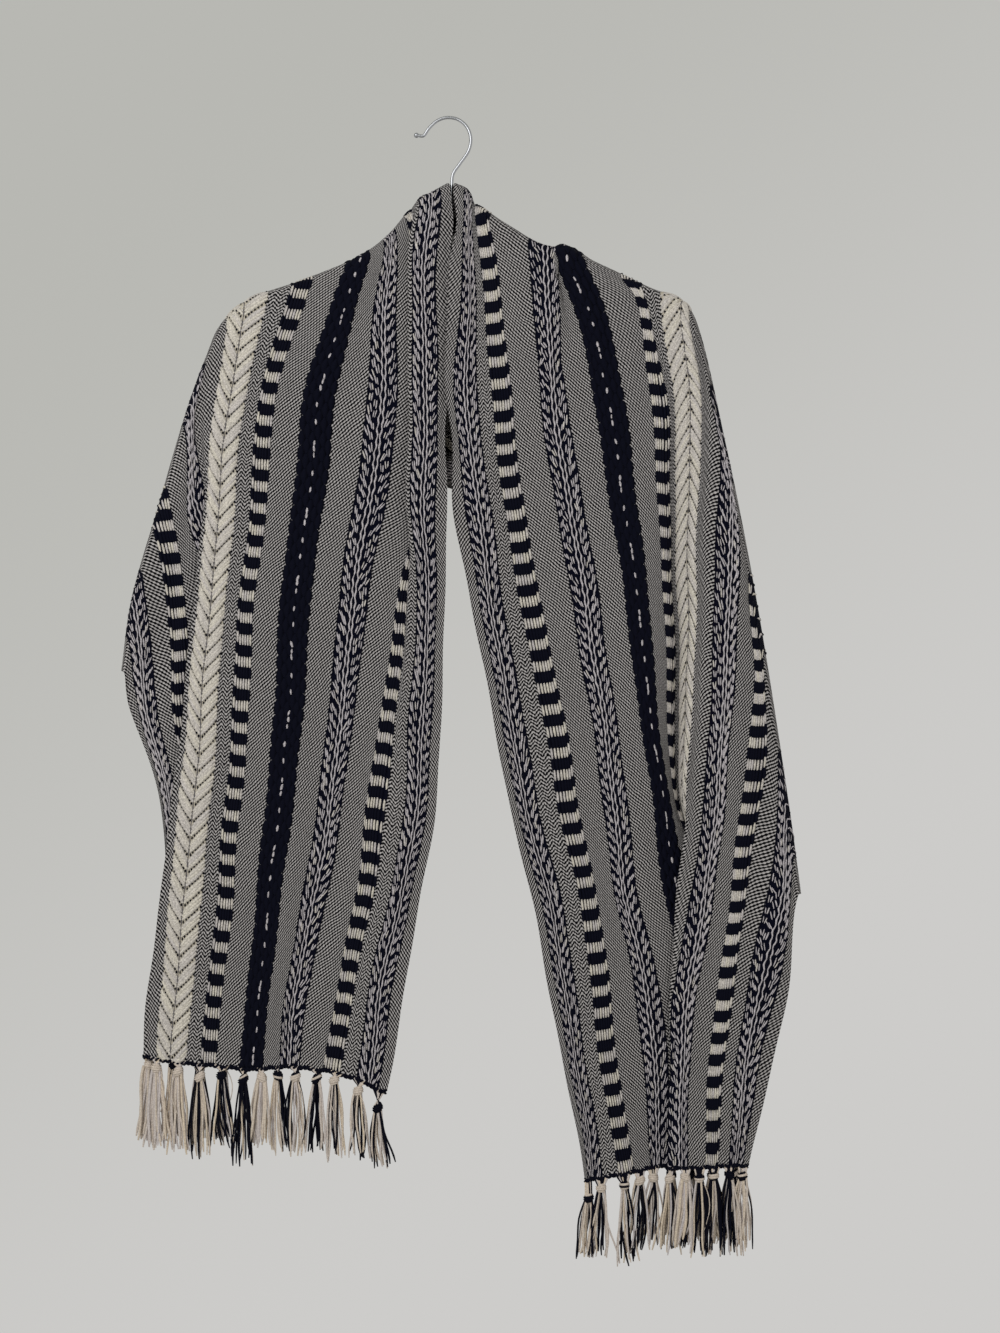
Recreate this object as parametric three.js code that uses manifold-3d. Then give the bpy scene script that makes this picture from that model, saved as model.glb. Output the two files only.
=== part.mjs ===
// A woven scarf with knotted fringe, worn round a clothes hanger as it is round a neck.
// Millimetres, +Z up. The origin is the inside of the hook's crown, where the hanger hangs.
// The front of the scarf faces -Y, and its left and right are those of someone who faces it.
import * as THREE from "three";
import { mergeVertices } from "three/addons/utils/BufferGeometryUtils.js";
import Module from "manifold-3d";

const wasm = await Module();
wasm.setup();

// ---- Driving sizes -------------------------------------------------------------------------
const CLOTH_WIDTH = 363; // selvedge to selvedge
const WALL = 1.6; // cloth thickness between its stripes
const SEAM_GAP = 0.3; // left between neighbouring pieces
const RIDGE_LOOP = 7.5; // how far the cloth stands off the hanger's middle plane as it turns over
const RIDGE_DROP = 3.5; // how far below the ridge it reaches that distance
const LAYER_STEP = 5; // from one layer of a pleat to the next
const FOLD_REACH = 4; // from a fold's tip to where its layers lie flat
const FRONT_DEPTH = 11; // of the front panels, forward of the hanger's middle plane
const BACK_DEPTH = 12; // of the back, behind it
const FRONT_ROWS = 23;
const TURN_ROWS = [SEAM_GAP / 2, 4.5, 12]; // how far the first of them lie from the ridge
const BACK_ROWS = 14;
const FIRST_LEVEL = 12; // how far below the ridge a line's own levels start
const PLEAT_LEVEL = 7; // the level that tells which layer of a pleat lies in front
const CLOSING = [-2, 7]; // the overlap at which a pleat starts to close, and is closed
const BACK_BOW = 3; // how far the back's middle bows out, besides its soft folds
const BACK_SHARES = [0.2, 0.4, 0.6, 0.8]; // where its points lie between the two ridges
const EVENING = 0.5; // how much closer together its first and last rows lie
const CLEARANCE = 6; // between a stripe's own columns and a panel's lines

// Woven stripes, by their distance from the inner selvedge. Floating yarns stand them off the twill.
const STRIPES = [
  { weave: "twist", from: 10, to: 32, rise: 0.6 },
  { weave: "block", from: 46, to: 63, rise: 0.5 },
  { weave: "twist", from: 87, to: 109, rise: 0.6 },
  { weave: "band", from: 131, to: 155, rise: 0.7 },
  { weave: "block", from: 177, to: 191, rise: 0.5 },
  { weave: "leaf", from: 204, to: 232, rise: 0.6 },
  { weave: "twist", from: 254, to: 276, rise: 0.6 },
  { weave: "block", from: 300, to: 317, rise: 0.5 },
  { weave: "twist", from: 331, to: 353, rise: 0.6 },
];
const STRIPE_EDGE = 2; // over which a stripe's edge rises

const RIDGE = "ridge";
const HEM = "hem";

// How each front panel hangs. A row is one line of cloth, which keeps its distance "at" from the inner
// selvedge where the cloth crosses the hanger, and runs from the ridge down to the hem.
// across: x at each level, or null where the line is still behind the ridge.
// forward: how far it lies in front of FRONT_DEPTH at each level.
// woven: its distance from the selvedge at each level, where a fold slants over the stripes.
// fold: the side that a fold's tip points to, "out" to the selvedge or "in" to the middle.
const LEFT = {
  side: -1,
  levels: [-85, -112, -166, -256, -346, -436, -526, -616, -706, -796],
  lines: [
    { name: "inner selvedge", at: 0, ridge: [0, -60], hem: [-54, -878],
      across: [1, 2, 3, 3, 2, -3, -4, -10, -24, -40],
      forward: [-3, 0, 2, 2, 2, 2, 1, 0, 0, -1, -1] },
    { name: "inner twist", at: 21, ridge: [-17, -74], hem: [-70, -871],
      across: [null, -19, -21, -20, -20, -18, -21, -27, -42, -62],
      forward: [5, 7, 9, 9, 7, 4, 2, 1, 1, 0, 0] },
    { name: "inner pleat edge", at: 36, ridge: [-29, -81], hem: [-85, -864], fold: "out",
      across: [null, -33, -34, -35, -35, -31, -37, -42, -56, -76],
      forward: [5, 6, 7.5, 7.5, 6.5, 4, 1, 0, 0, 0, 0] },
    { name: "inner pleat root", at: 56, ridge: [-37, -89], hem: [-107, -858], fold: "in",
      across: [null, -28, -17, -15, -18, -40, -53, -67, -78, -95],
      forward: [1, 1, 2, 2, 0.5, -2, -2, -2, -2, -1, -1] },
    { name: "middle twist", at: 98, ridge: [-53, -108], hem: [-144, -854],
      across: [null, null, -56, -60, -71, -85, -95, -105, -122, -138],
      forward: [0, 0, 0, 0, 1, 1, 0, -1, 0, 0, 0] },
    { name: "dark band", at: 143, ridge: [-78, -127], hem: [-175, -856],
      across: [null, null, -90, -114, -124, -134, -142, -149, -161, -168],
      forward: [0, 0, 2, 4, 5, 5, 4, 4, 3, 3, 2] },
    { name: "middle block", at: 184, ridge: [-131, -149], hem: [-213, -852],
      across: [null, null, -136, -161, -169, -179, -185, -191, -198, -210],
      forward: [0, 0, 0, 2, 3, 3.5, 3.5, 3.5, 3.5, 3.5, 3.5] },
    { name: "leaf stripe", at: 218, ridge: [-182, -169], hem: [-246, -849],
      across: [null, null, null, -193, -203, -210, -218, -225, -234, -243],
      forward: [0, 0, 0, 2, 4, 5, 5, 5, 5, 4, 4] },
    { name: "outer pleat edge", at: 238, ridge: [-205, -191], hem: [-273, -845], fold: "out",
      across: [null, null, null, -212, -219, -228, -236, -248, -257, -271],
      forward: [0, 0, 0, 2, 2.5, 2, 2, 2, 2, 1, 1],
      woven: [238, 238, 238, 236, 235, 237, 237, 240, 242, 247, 247] },
    { name: "outer pleat root", at: 250, ridge: [-215, -214], hem: [-203, -847], fold: "in",
      across: [null, null, null, -224, -214, -203, -204, -203, -203, -203],
      forward: [0, 0, 0, -3.5, -4, -4, -4, -4, -4, -4, -4],
      woven: [250, 250, 250, 248, 249, 268, 273, 286, 296, 309, 312] },
    { name: "second twist", at: 265, ridge: [-231, -261], hem: [-212, -847],
      across: [null, null, null, null, -230, -216, -221, -217, -215, -212],
      forward: [0, 0, 0, 0, -5, -6.5, -6.5, -6.5, -6.5, -6.5, -6.5],
      woven: [265, 265, 265, 265, 265, 280, 290, 300, 308, 318, 321] },
    { name: "outer block", at: 308, ridge: [-258, -352], hem: [-229, -848],
      across: [null, null, null, null, null, -244, -246, -238, -236, -229],
      forward: [0, 0, 0, 0, -4, -6, -6, -6, -6, -6.5, -6.5],
      woven: [308, 308, 308, 308, 308, 308, 315, 322, 328, 334, 337] },
    { name: "outer twist", at: 342, ridge: [-282, -438], hem: [-240, -849],
      across: [null, null, null, null, null, null, -274, -257, -249, -240],
      forward: [0, 0, 0, 0, 0, -5, -6, -6.5, -6.5, -6.5, -6.5],
      woven: [342, 342, 342, 342, 342, 342, 342, 342, 344, 346, 348] },
    { name: "outer selvedge", at: 363, ridge: [-292, -500], hem: [-256, -849],
      across: [null, null, null, null, null, null, -291, -268, -257, -257],
      forward: [0, 0, 0, 0, 0, 0, -6, -7, -7, -7, -7] },
  ],
};

const RIGHT = {
  side: 1,
  levels: [-85, -112, -166, -256, -346, -436, -526, -616, -660, -706, -796, -886],
  lines: [
    { name: "inner selvedge", at: 0, ridge: [7.5, -60], hem: [124, -957],
      across: [5, 2, 0, -3, 3, 22, 38, 56, 66, 76, 94, 111],
      forward: [3, 6, 8, 8, 5, 2, 1, 0, 0, 0, 0, 0, 0] },
    { name: "inner twist", at: 21, ridge: [18, -69], hem: [131, -955],
      across: [16, 15, 14, 17, 28, 40, 54, 70, 81, 92, 108, 122],
      forward: [3, 5, 6, 6, 5, 4, 3, 3, 3, 2, 2, 2, 2] },
    { name: "inner block", at: 55, ridge: [32, -87], hem: [163, -950],
      across: [null, 34, 40, 51, 60, 76, 94, 110, 119, 128, 140, 151],
      forward: [0, 1, 1, 0, 0, 0, 0, 0, -0.5, -1, -1, -1, 0] },
    { name: "middle twist", at: 98, ridge: [88, -117], hem: [190, -946],
      across: [null, null, 90, 97, 110, 125, 138, 150, 156, 162, 181, 191],
      forward: [0, 0, 3, 4, 3, 3, 3, 2, 1, 0, -4, -7, -7] },
    { name: "dark band", at: 143, ridge: [108, -124], hem: [233, -945],
      across: [null, null, 124, 145, 159, 171, 182, 194, 201, 210, 229, 234],
      forward: [0, 0, 0, 1, 2, 3, 3, 0, -4, -7, -9, -9, -9] },
    { name: "middle block", at: 184, ridge: [165, -149], hem: [258, -944],
      across: [null, null, 176, 189, 195, 198, 201, 206, 222, 244, 260, 261],
      forward: [0, 0, 0, 0, -3, -5, -6, -9, -10, -10, -10, -9.5, -9.5],
      woven: [184, 184, 184, 184, 184, 184, 184, 184, 183, 182, 176, 173, 172] },
    { name: "valley root", at: 197, ridge: [185, -158], hem: [267, -944], fold: "out", spread: 1.5,
      across: [null, null, 192, 201, 204, 206, 209, 211, 230, 256, 271, 271],
      forward: [0, 0, -1, -4, -10, -14, -16, -16, -11.5, -7.5, -7.5, -7.5, -7.5],
      woven: [197, 197, 197, 197, 197, 197, 197, 199, 197, 192, 188, 185, 184] },
    { name: "leaf stripe", at: 218, ridge: [211, -169], hem: [234, -945],
      across: [null, null, null, 217, 217, 217, 215, 214.5, 221, 230, 238, 237],
      forward: [0, 0, 0, 0, -2, -3, -3, -5, -5, -4, -4, -4, -4] },
    { name: "valley edge", at: 236, ridge: [222, -183], hem: [199, -945], fold: "in", spread: 1.5,
      across: [null, null, null, 230, 227, 226, 222, 217.5, 211, 206, 202, 200],
      forward: [0, 0, 0, 1, 4, 5, 6, 5, 3, 0.5, 0.5, 0.5, 0.5],
      woven: [236, 236, 236, 236, 236, 236, 236, 236, 238, 242, 252, 254, 254] },
    { name: "second twist", at: 265, ridge: [251, -297], hem: [210, -945],
      across: [null, null, null, null, 256, 254, 248, 244, 238, 231, 217, 211],
      forward: [0, 0, 0, 0, 2, 5, 7, 7, 5.5, 4, 4, 3, 3] },
    { name: "outer block", at: 308, ridge: [277, -441], hem: [236, -944],
      across: [null, null, null, null, null, null, 280, 271, 265, 259, 248, 239],
      forward: [0, 0, 0, 0, 0, 0, 4, 6, 6, 6, 5, 4, 3] },
    { name: "outer twist", at: 342, ridge: [306, -632], hem: [260, -943],
      across: [null, null, null, null, null, null, null, null, null, 302, 279, 266],
      forward: [0, 0, 0, 0, 0, 0, 0, 2, 2.5, 3, 3, 2, 1] },
    { name: "outer selvedge", at: 363, ridge: [318, -700], hem: [272, -944],
      across: [null, null, null, null, null, null, null, null, null, 317.5, 303, 285],
      forward: [0, 0, 0, 0, 0, 0, 0, 0, 0, 0, 0, 0, 0] },
  ],
};

// How far the back's middle hangs below the hook, for each line of cloth.
const BACK_MIDDLE = [
  { at: 0, drop: 62 },
  { at: 55, drop: 92 },
  { at: 98, drop: 120 },
  { at: 143, drop: 152 },
  { at: 184, drop: 180 },
  { at: 218, drop: 206 },
  { at: 265, drop: 250 },
  { at: 308, drop: 294 },
  { at: 363, drop: 335 },
];
const SWAG = { height: 6, spacing: 58, start: 70 }; // soft folds that run across the back

const HANGER = {
  top: [ // the line of its upper face, from tip to tip
    [-194, -188], [-180, -174.5], [-131, -153.5], [-78, -134], [-30, -115], [5, -105],
    [45, -112], [88, -124], [108, -130], [165, -154.5], [203, -173], [212, -183],
  ],
  width: 10,
  height: 9,
  steps: 20,
};
const HOOK = {
  wire: 3,
  route: [ // of the wire's middle, from the open end to the stem
    [-27.6, -14.6], [-21.8, -15], [-17, -8.6], [-9, -1.3], [0, 1.5], [10, -0.4], [17.8, -7.2],
    [21.2, -17.5], [19.2, -28.5], [11.5, -40], [5.2, -49.5], [4, -58],
  ],
  end: [4, -104.2],
  ball: { at: [-28, -14.6], radius: 2.4 },
};

const TASSELS = {
  count: 18,
  knot: 4.6, // radius, before it is made narrow, flat and long
  knotShape: [0.9, 0.55, 1.3],
  top: 3, // from the knot's heart to its strands
  strands: 4,
  thick: 2,
  spacing: 7, // across the strands where they leave the knot
  splay: [7, 11], // and half of it at their ends, at least and at most
  lean: 4,
  early: 0.3, // share of the lean that half a strand's length has
  depth: 0.9, // that strands lie before and behind each other
  tuck: 0.4, // share of that depth at the knot
  length: 74,
  shortest: 0.84, // share of the length
  strip: 5,
  stripWall: 2,
  root: 0.6, // share of the strip where the knots hang
  gap: 0.9,
};
const NECK = { radius: 2.7, height: 6 }; // the collar that holds the hook's stem in the bar

// ---- Materials -----------------------------------------------------------------------------
const cotton = new THREE.MeshStandardMaterial({ color: 0x8d8b8a, roughness: 0.95, metalness: 0 });
const yarn = new THREE.MeshStandardMaterial({ color: 0xc9c2b2, roughness: 0.95, metalness: 0 });
const chrome = new THREE.MeshStandardMaterial({ color: 0xc8cacc, roughness: 0.2, metalness: 1 });
const plastic = new THREE.MeshStandardMaterial({ color: 0xd9d9d6, roughness: 0.5, metalness: 0 });

// ---- Curves and surfaces -------------------------------------------------------------------
const lerp = THREE.MathUtils.lerp;
const smoothstep = THREE.MathUtils.smoothstep;
const vector = (x, y, z) => new THREE.Vector3(x, y, z);
const smoothCurve = (points) => new THREE.CatmullRomCurve3(points, false, "centripetal");

// Where a value lies in a rising list: the step it is in and how far along that step.
function place(list, value) {
  let step = 0;
  while (step < list.length - 2 && value > list[step + 1]) step += 1;
  const along = (value - list[step]) / (list[step + 1] - list[step]);
  return { step, along: THREE.MathUtils.clamp(along, 0, 1) };
}

// The line where the cloth crosses from the back to the front, as a curve in the hanger's plane.
function ridgeOf(panel) {
  const curve = smoothCurve(panel.lines.map((line) => vector(line.ridge[0], 0, line.ridge[1])));
  const ats = panel.lines.map((line) => line.at);
  const parameter = (at) => {
    const { step, along } = place(ats, at);
    return (step + along) / (ats.length - 1);
  };
  return {
    point: (at) => curve.getPoint(parameter(at)),
    // Points from the ridge into the cloth that hangs below it.
    inward: (at) => {
      const along = curve.getTangent(parameter(at));
      return vector(along.z * panel.side, 0, -along.x * panel.side).normalize();
    },
  };
}

// A fold's tip pushes its neighbours round it: both to one side where the cloth is folded, and one to
// each side where it has opened out.
function foldNeighbours(line, panel, closed) {
  const outward = panel.side * (line.fold === "out" ? 1 : -1);
  const order = line.fold === "out" ? 1 : -1;
  return [-1, 1].map((way) => ({
    at: line.at + way * FOLD_REACH,
    shift: (level) => {
      const open = way * order * outward * (line.spread || FOLD_REACH);
      const shut = -outward * FOLD_REACH;
      return lerp(open, shut, closed(level));
    },
    lift: (level) => -way * line.lift * (LAYER_STEP / 2) * closed(level),
    wovenShift: way * FOLD_REACH,
  }));
}

// How far two folds of one pleat overlap at a level, from 0 for open to 1 for closed.
function pleatClosure(panel, edge, root) {
  return (index) => {
    const places = [edge, root].map((line) => (index < 0 ? null : valueAt(line, index)));
    if (places.includes(null)) return 0;
    const overlap = (places[0] - places[1]) * panel.side * (edge.fold === "out" ? 1 : -1);
    return smoothstep(overlap, ...CLOSING);
  };
}

function valueAt(line, index) {
  return index < line.across.length ? line.across[index] : line.hem[0];
}

// Every line of a panel, with the extra lines that turn its folds, as curves from ridge to hem.
function panelLines(panel) {
  const ridge = ridgeOf(panel);
  const folds = panel.lines.filter((line) => line.fold);
  const lines = [];
  panel.lines.forEach((line) => {
    const wanted = [{ at: line.at, shift: () => 0, lift: () => 0, wovenShift: 0 }];
    if (line.fold) {
      const number = folds.indexOf(line);
      const pair = number % 2 ? [folds[number - 1], line] : [line, folds[number + 1]];
      line.lift = pair[0].forward[PLEAT_LEVEL] >= pair[1].forward[PLEAT_LEVEL] ? 1 : -1;
      const closed = pleatClosure(panel, pair[0], pair[1]);
      const [before, after] = foldNeighbours(line, panel, closed);
      wanted.unshift(before);
      wanted.push(after);
    }
    wanted.forEach((one) => lines.push(lineCurve(line, one, panel, ridge)));
  });
  return lines;
}

function lineCurve(line, one, panel, ridge) {
  const start = ridge.point(one.at);
  const inward = ridge.inward(one.at);
  const points = [start];
  const woven = [one.at];
  points.push(start.clone().addScaledVector(inward, RIDGE_DROP).setY(-RIDGE_LOOP));
  woven.push(one.at);
  [...panel.levels, HEM].forEach((level, index) => {
    const atHem = level === HEM;
    const across = atHem ? line.hem[0] : line.across[index];
    const height = atHem ? line.hem[1] : level;
    if (across === null || (!atHem && height > start.z - FIRST_LEVEL)) return;
    const forward = line.forward[index] + one.lift(index);
    points.push(vector(across + one.shift(index), -FRONT_DEPTH - forward, height));
    woven.push((line.woven ? line.woven[index] : line.at) + one.wovenShift);
  });
  return { at: one.at, curve: smoothCurve(points), woven };
}

// The middle of a front panel: rows of points from ridge to hem, at the wanted columns.
function frontGrid(panel, columns, rows) {
  const lines = panelLines(panel);
  const ats = lines.map((line) => line.at);
  const grid = [];
  for (let row = 0; row < rows; row += 1) {
    const points = [];
    const woven = [];
    lines.forEach((line) => {
      const t = line.curve.getUtoTmapping(rowFraction(row, rows, line.curve.getLength()));
      points.push(line.curve.getPoint(t));
      const spot = Math.min(t * (line.woven.length - 1), line.woven.length - 1 - 1e-9);
      const step = Math.floor(spot);
      woven.push(lerp(line.woven[step], line.woven[step + 1], spot - step));
    });
    const across = smoothCurve(points);
    grid.push(
      columns.map((at) => {
        const { step, along } = place(ats, at);
        const point = across.getPoint((step + along) / (ats.length - 1));
        return { point, woven: lerp(woven[step], woven[step + 1], along) };
      }),
    );
  }
  return grid;
}

// The first rows lie close together, where the cloth turns over the ridge.
function rowFraction(row, rows, length) {
  if (row < TURN_ROWS.length) return TURN_ROWS[row] / length;
  const last = TURN_ROWS.length - 1;
  return lerp(TURN_ROWS[last], length, (row - last) / (rows - 1 - last)) / length;
}

// The middle of the back: rows of points from the left ridge to the right one.
function backGrid(columns, rows) {
  const ridges = [ridgeOf(LEFT), ridgeOf(RIGHT)];
  const ats = BACK_MIDDLE.map((entry) => entry.at);
  const lines = columns.map((at) => {
    const ends = ridges.map((ridge) => ridge.point(at));
    const inwards = ridges.map((ridge) => ridge.inward(at));
    const { step, along } = place(ats, at);
    const drop = lerp(BACK_MIDDLE[step].drop, BACK_MIDDLE[step + 1].drop, along);
    const turns = ends.map((end, side) =>
      end.clone().addScaledVector(inwards[side], RIDGE_DROP).setY(RIDGE_LOOP));
    const wave = SWAG.height * Math.sin((2 * Math.PI * at) / SWAG.spacing);
    const swag = wave * smoothstep(at, SWAG.start, SWAG.start + SWAG.spacing);
    const middle = BACK_SHARES.map((share) => {
      const bow = 4 * share * (1 - share);
      const straight = lerp(turns[0].z, turns[1].z, share);
      const sag = -drop - (turns[0].z + turns[1].z) / 2;
      return vector(
        lerp(turns[0].x, turns[1].x, share),
        BACK_DEPTH + (swag + BACK_BOW) * bow,
        straight + sag * bow,
      );
    });
    return smoothCurve([ends[0], turns[0], ...middle, turns[1], ends[1]]);
  });
  const grid = [];
  for (let row = 0; row < rows; row += 1) {
    const fraction = row / (rows - 1);
    grid.push(
      lines.map((curve, column) => {
        const trim = SEAM_GAP / 2 / curve.getLength();
        const eased = lerp(fraction, smoothstep(fraction, 0, 1), EVENING);
        return { point: curve.getPointAt(lerp(trim, 1 - trim, eased)), woven: columns[column] };
      }),
    );
  }
  return grid;
}

// Columns at the stripes' edges and between the stripes, and on every line of the panels.
function clothColumns(lines) {
  const wanted = lines.map((line) => line.at);
  const clear = (at) => wanted.every((other) => Math.abs(other - at) > CLEARANCE);
  STRIPES.forEach((stripe) => {
    [stripe.from + STRIPE_EDGE, stripe.to - STRIPE_EDGE].filter(clear).forEach((at) => wanted.push(at));
  });
  STRIPES.slice(1).forEach((stripe, index) => {
    const between = (STRIPES[index].to + stripe.from) / 2;
    if (clear(between)) wanted.push(between);
  });
  return wanted.sort((a, b) => a - b);
}

// How far floating yarns stand a stripe off the twill.
function stripeRise(woven) {
  const stripe = STRIPES.find((one) => woven > one.from && woven < one.to);
  if (!stripe) return 0;
  const inside = Math.min(woven - stripe.from, stripe.to - woven);
  return stripe.rise * smoothstep(inside, 0, STRIPE_EDGE);
}

// Unit normals of a grid, on the side that the stripes are raised. At a ridge the cloth runs straight
// across the hanger, which "turns" gives for the first and the last row.
function gridNormals(grid, turns) {
  const rows = grid.length;
  const columns = grid[0].length;
  return grid.map((line, row) =>
    line.map((cell, column) => {
      const up = grid[Math.max(row - 1, 0)][column].point;
      const down = grid[Math.min(row + 1, rows - 1)][column].point;
      const before = line[Math.max(column - 1, 0)].point;
      const after = line[Math.min(column + 1, columns - 1)].point;
      const turn = row === 0 ? turns.first : row === rows - 1 && turns.last;
      const along = turn || down.clone().sub(up);
      return after.clone().sub(before).cross(along).normalize();
    }),
  );
}

// A closed wall round a grid of middle points, from two faces and a rim.
function wallGeometry(grid, outer, inner, turns = {}) {
  const rows = grid.length;
  const columns = grid[0].length;
  const normals = gridNormals(grid, turns);
  const positions = [];
  [outer, inner].forEach((distance) => {
    grid.forEach((line, row) => {
      line.forEach((cell, column) => {
        const moved = cell.point.clone().addScaledVector(normals[row][column], distance(cell));
        positions.push(moved.x, moved.y, moved.z);
      });
    });
  });
  const corner = (face, row, column) => (face * rows + row) * columns + column;
  const triangles = [];
  const quad = (a, b, c, d) => triangles.push(a, b, c, a, c, d);
  for (let row = 0; row < rows - 1; row += 1) {
    for (let column = 0; column < columns - 1; column += 1) {
      [0, 1].forEach((face) => {
        const around = [
          corner(face, row, column),
          corner(face, row, column + 1),
          corner(face, row + 1, column + 1),
          corner(face, row + 1, column),
        ];
        quad(...(face ? around.reverse() : around));
      });
    }
  }
  const rim = (rowA, columnA, rowB, columnB) =>
    quad(
      corner(0, rowA, columnA),
      corner(1, rowA, columnA),
      corner(1, rowB, columnB),
      corner(0, rowB, columnB),
    );
  for (let column = 0; column < columns - 1; column += 1) {
    rim(0, column, 0, column + 1);
    rim(rows - 1, column + 1, rows - 1, column);
  }
  for (let row = 0; row < rows - 1; row += 1) {
    rim(row + 1, 0, row, 0);
    rim(row, columns - 1, row + 1, columns - 1);
  }
  const geometry = new THREE.BufferGeometry();
  geometry.setAttribute("position", new THREE.Float32BufferAttribute(positions, 3));
  geometry.setIndex(triangles);
  return geometry;
}

// ---- Solids --------------------------------------------------------------------------------
function toManifold(geometry) {
  const bare = geometry.clone();
  bare.deleteAttribute("normal");
  bare.deleteAttribute("uv");
  const merged = mergeVertices(bare, 1e-4);
  return new wasm.Manifold(
    new wasm.Mesh({
      numProp: 3,
      vertProperties: merged.attributes.position.array,
      triVerts: new Uint32Array(merged.index.array),
    }),
  );
}

function toGeometry(solid) {
  const mesh = solid.getMesh();
  const geometry = new THREE.BufferGeometry();
  geometry.setAttribute("position", new THREE.BufferAttribute(mesh.vertProperties, 3));
  geometry.setIndex(new THREE.BufferAttribute(mesh.triVerts, 1));
  return geometry;
}

function tube(points, radius, sides, steps) {
  const outline = new THREE.Shape();
  for (let side = 0; side < sides; side += 1) {
    const angle = (2 * Math.PI * side) / sides;
    const corner = [radius * Math.cos(angle), radius * Math.sin(angle)];
    if (side === 0) outline.moveTo(...corner);
    else outline.lineTo(...corner);
  }
  outline.closePath();
  return new THREE.ExtrudeGeometry(outline, { steps, extrudePath: smoothCurve(points) });
}

// A short random walk that is the same each time.
function seeded(seed) {
  let state = seed;
  return () => {
    state = (state * 16807) % 2147483647;
    return state / 2147483647;
  };
}

const FORWARD = vector(0, -1, 0);
const BACKWARD = vector(0, 1, 0);
const outerFace = (cell) => WALL / 2 + stripeRise(cell.woven);
const innerFace = () => -WALL / 2;

// Turns a grid's rows round, so that its raised side is the other one.
const turned = (grid) => grid.map((line) => [...line].reverse());

// The middle of a front panel, with its raised side in front.
function facingGrid(panel) {
  const grid = frontGrid(panel, clothColumns(panelLines(panel)), FRONT_ROWS);
  return panel.side > 0 ? turned(grid) : grid;
}

function frontWall(panel) {
  return wallGeometry(facingGrid(panel), outerFace, innerFace, { first: FORWARD });
}

function backWall() {
  const grid = turned(backGrid(clothColumns(BACK_MIDDLE), BACK_ROWS));
  return wallGeometry(grid, outerFace, innerFace, { first: BACKWARD, last: FORWARD });
}

// The twined edge that closes a hem, as a narrow wall just past the cloth, and its tassels' roots.
function fringeOf(panel, seed) {
  const grid = frontGrid(panel, clothColumns(panelLines(panel)), FRONT_ROWS);
  const [before, hem] = grid.slice(-2);
  const below = (distance) =>
    hem.map((cell, column) => {
      const way = cell.point.clone().sub(before[column].point).normalize();
      return { ...cell, point: cell.point.clone().addScaledVector(way, distance) };
    });
  const stripGrid = [below(TASSELS.gap), below(TASSELS.gap + TASSELS.strip)];
  const half = TASSELS.stripWall / 2;
  const pieces = [toManifold(wallGeometry(stripGrid, () => half, () => -half))];
  const roots = below(TASSELS.gap + TASSELS.strip * TASSELS.root);
  const random = seeded(seed);
  for (let number = 0; number < TASSELS.count; number += 1) {
    const along = ((number + 0.5) / TASSELS.count) * CLOTH_WIDTH;
    const root = pointAtWoven(roots, along);
    pieces.push(...tassel(root, random));
  }
  return toGeometry(pieces.reduce((joined, piece) => joined.add(piece)));
}

function pointAtWoven(line, woven) {
  const step = line.findIndex((cell, index) => index > 0 && cell.woven >= woven) - 1;
  const first = line[Math.max(step, 0)];
  const next = line[Math.max(step, 0) + 1];
  const share = (woven - first.woven) / (next.woven - first.woven);
  return first.point.clone().lerp(next.point, THREE.MathUtils.clamp(share, 0, 1));
}

// A knot with its loose ends below it.
function tassel(root, random) {
  const [wide, deep, tall] = TASSELS.knotShape;
  const heart = root.clone().add(vector(0, 0, -TASSELS.knot * tall));
  const knot = new THREE.SphereGeometry(TASSELS.knot, 5, 3);
  knot.rotateX(Math.PI / 2);
  knot.scale(wide, deep, tall);
  knot.translate(heart.x, heart.y, heart.z);
  const pieces = [toManifold(knot)];
  const splay = lerp(...TASSELS.splay, random());
  const lean = (random() * 2 - 1) * TASSELS.lean;
  for (let number = 0; number < TASSELS.strands; number += 1) {
    const share = (number + 0.5) / TASSELS.strands - 0.5;
    const length = TASSELS.length * lerp(TASSELS.shortest, 1, random());
    const depth = (number % 2 ? 1 : -1) * TASSELS.depth;
    const points = [
      heart.clone().add(vector(share * TASSELS.spacing, depth * TASSELS.tuck, -TASSELS.top)),
      heart.clone().add(vector(share * splay * 1.5 + lean * TASSELS.early, depth, -length / 2)),
      heart.clone().add(vector(share * splay * 2 + lean, depth, -length)),
    ];
    pieces.push(toManifold(tube(points, TASSELS.thick / 2, 3, 2)));
  }
  return pieces;
}

function hangerBar() {
  const route = HANGER.top.map(([x, z]) => vector(x, 0, z - HANGER.height / 2));
  const outline = new THREE.Shape();
  const sides = 10;
  for (let side = 0; side < sides; side += 1) {
    const angle = (2 * Math.PI * (side + 0.5)) / sides;
    const corner = [(HANGER.height / 2) * Math.cos(angle), (HANGER.width / 2) * Math.sin(angle)];
    if (side === 0) outline.moveTo(...corner);
    else outline.lineTo(...corner);
  }
  outline.closePath();
  return new THREE.ExtrudeGeometry(outline, { steps: HANGER.steps, extrudePath: smoothCurve(route) });
}

function hangerHook() {
  const route = HOOK.route.map(([x, z]) => vector(x, 0, z));
  route.push(vector(HOOK.end[0], 0, HOOK.end[1]));
  const wire = toManifold(tube(route, HOOK.wire / 2, 8, 30));
  const ball = new THREE.SphereGeometry(HOOK.ball.radius, 10, 8);
  ball.translate(HOOK.ball.at[0], 0, HOOK.ball.at[1]);
  const neck = new THREE.CylinderGeometry(NECK.radius, NECK.radius, NECK.height, 10);
  neck.rotateX(Math.PI / 2);
  neck.translate(HOOK.end[0], 0, HOOK.end[1] + NECK.height / 2);
  return toGeometry(wire.add(toManifold(ball)).add(toManifold(neck)));
}

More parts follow.
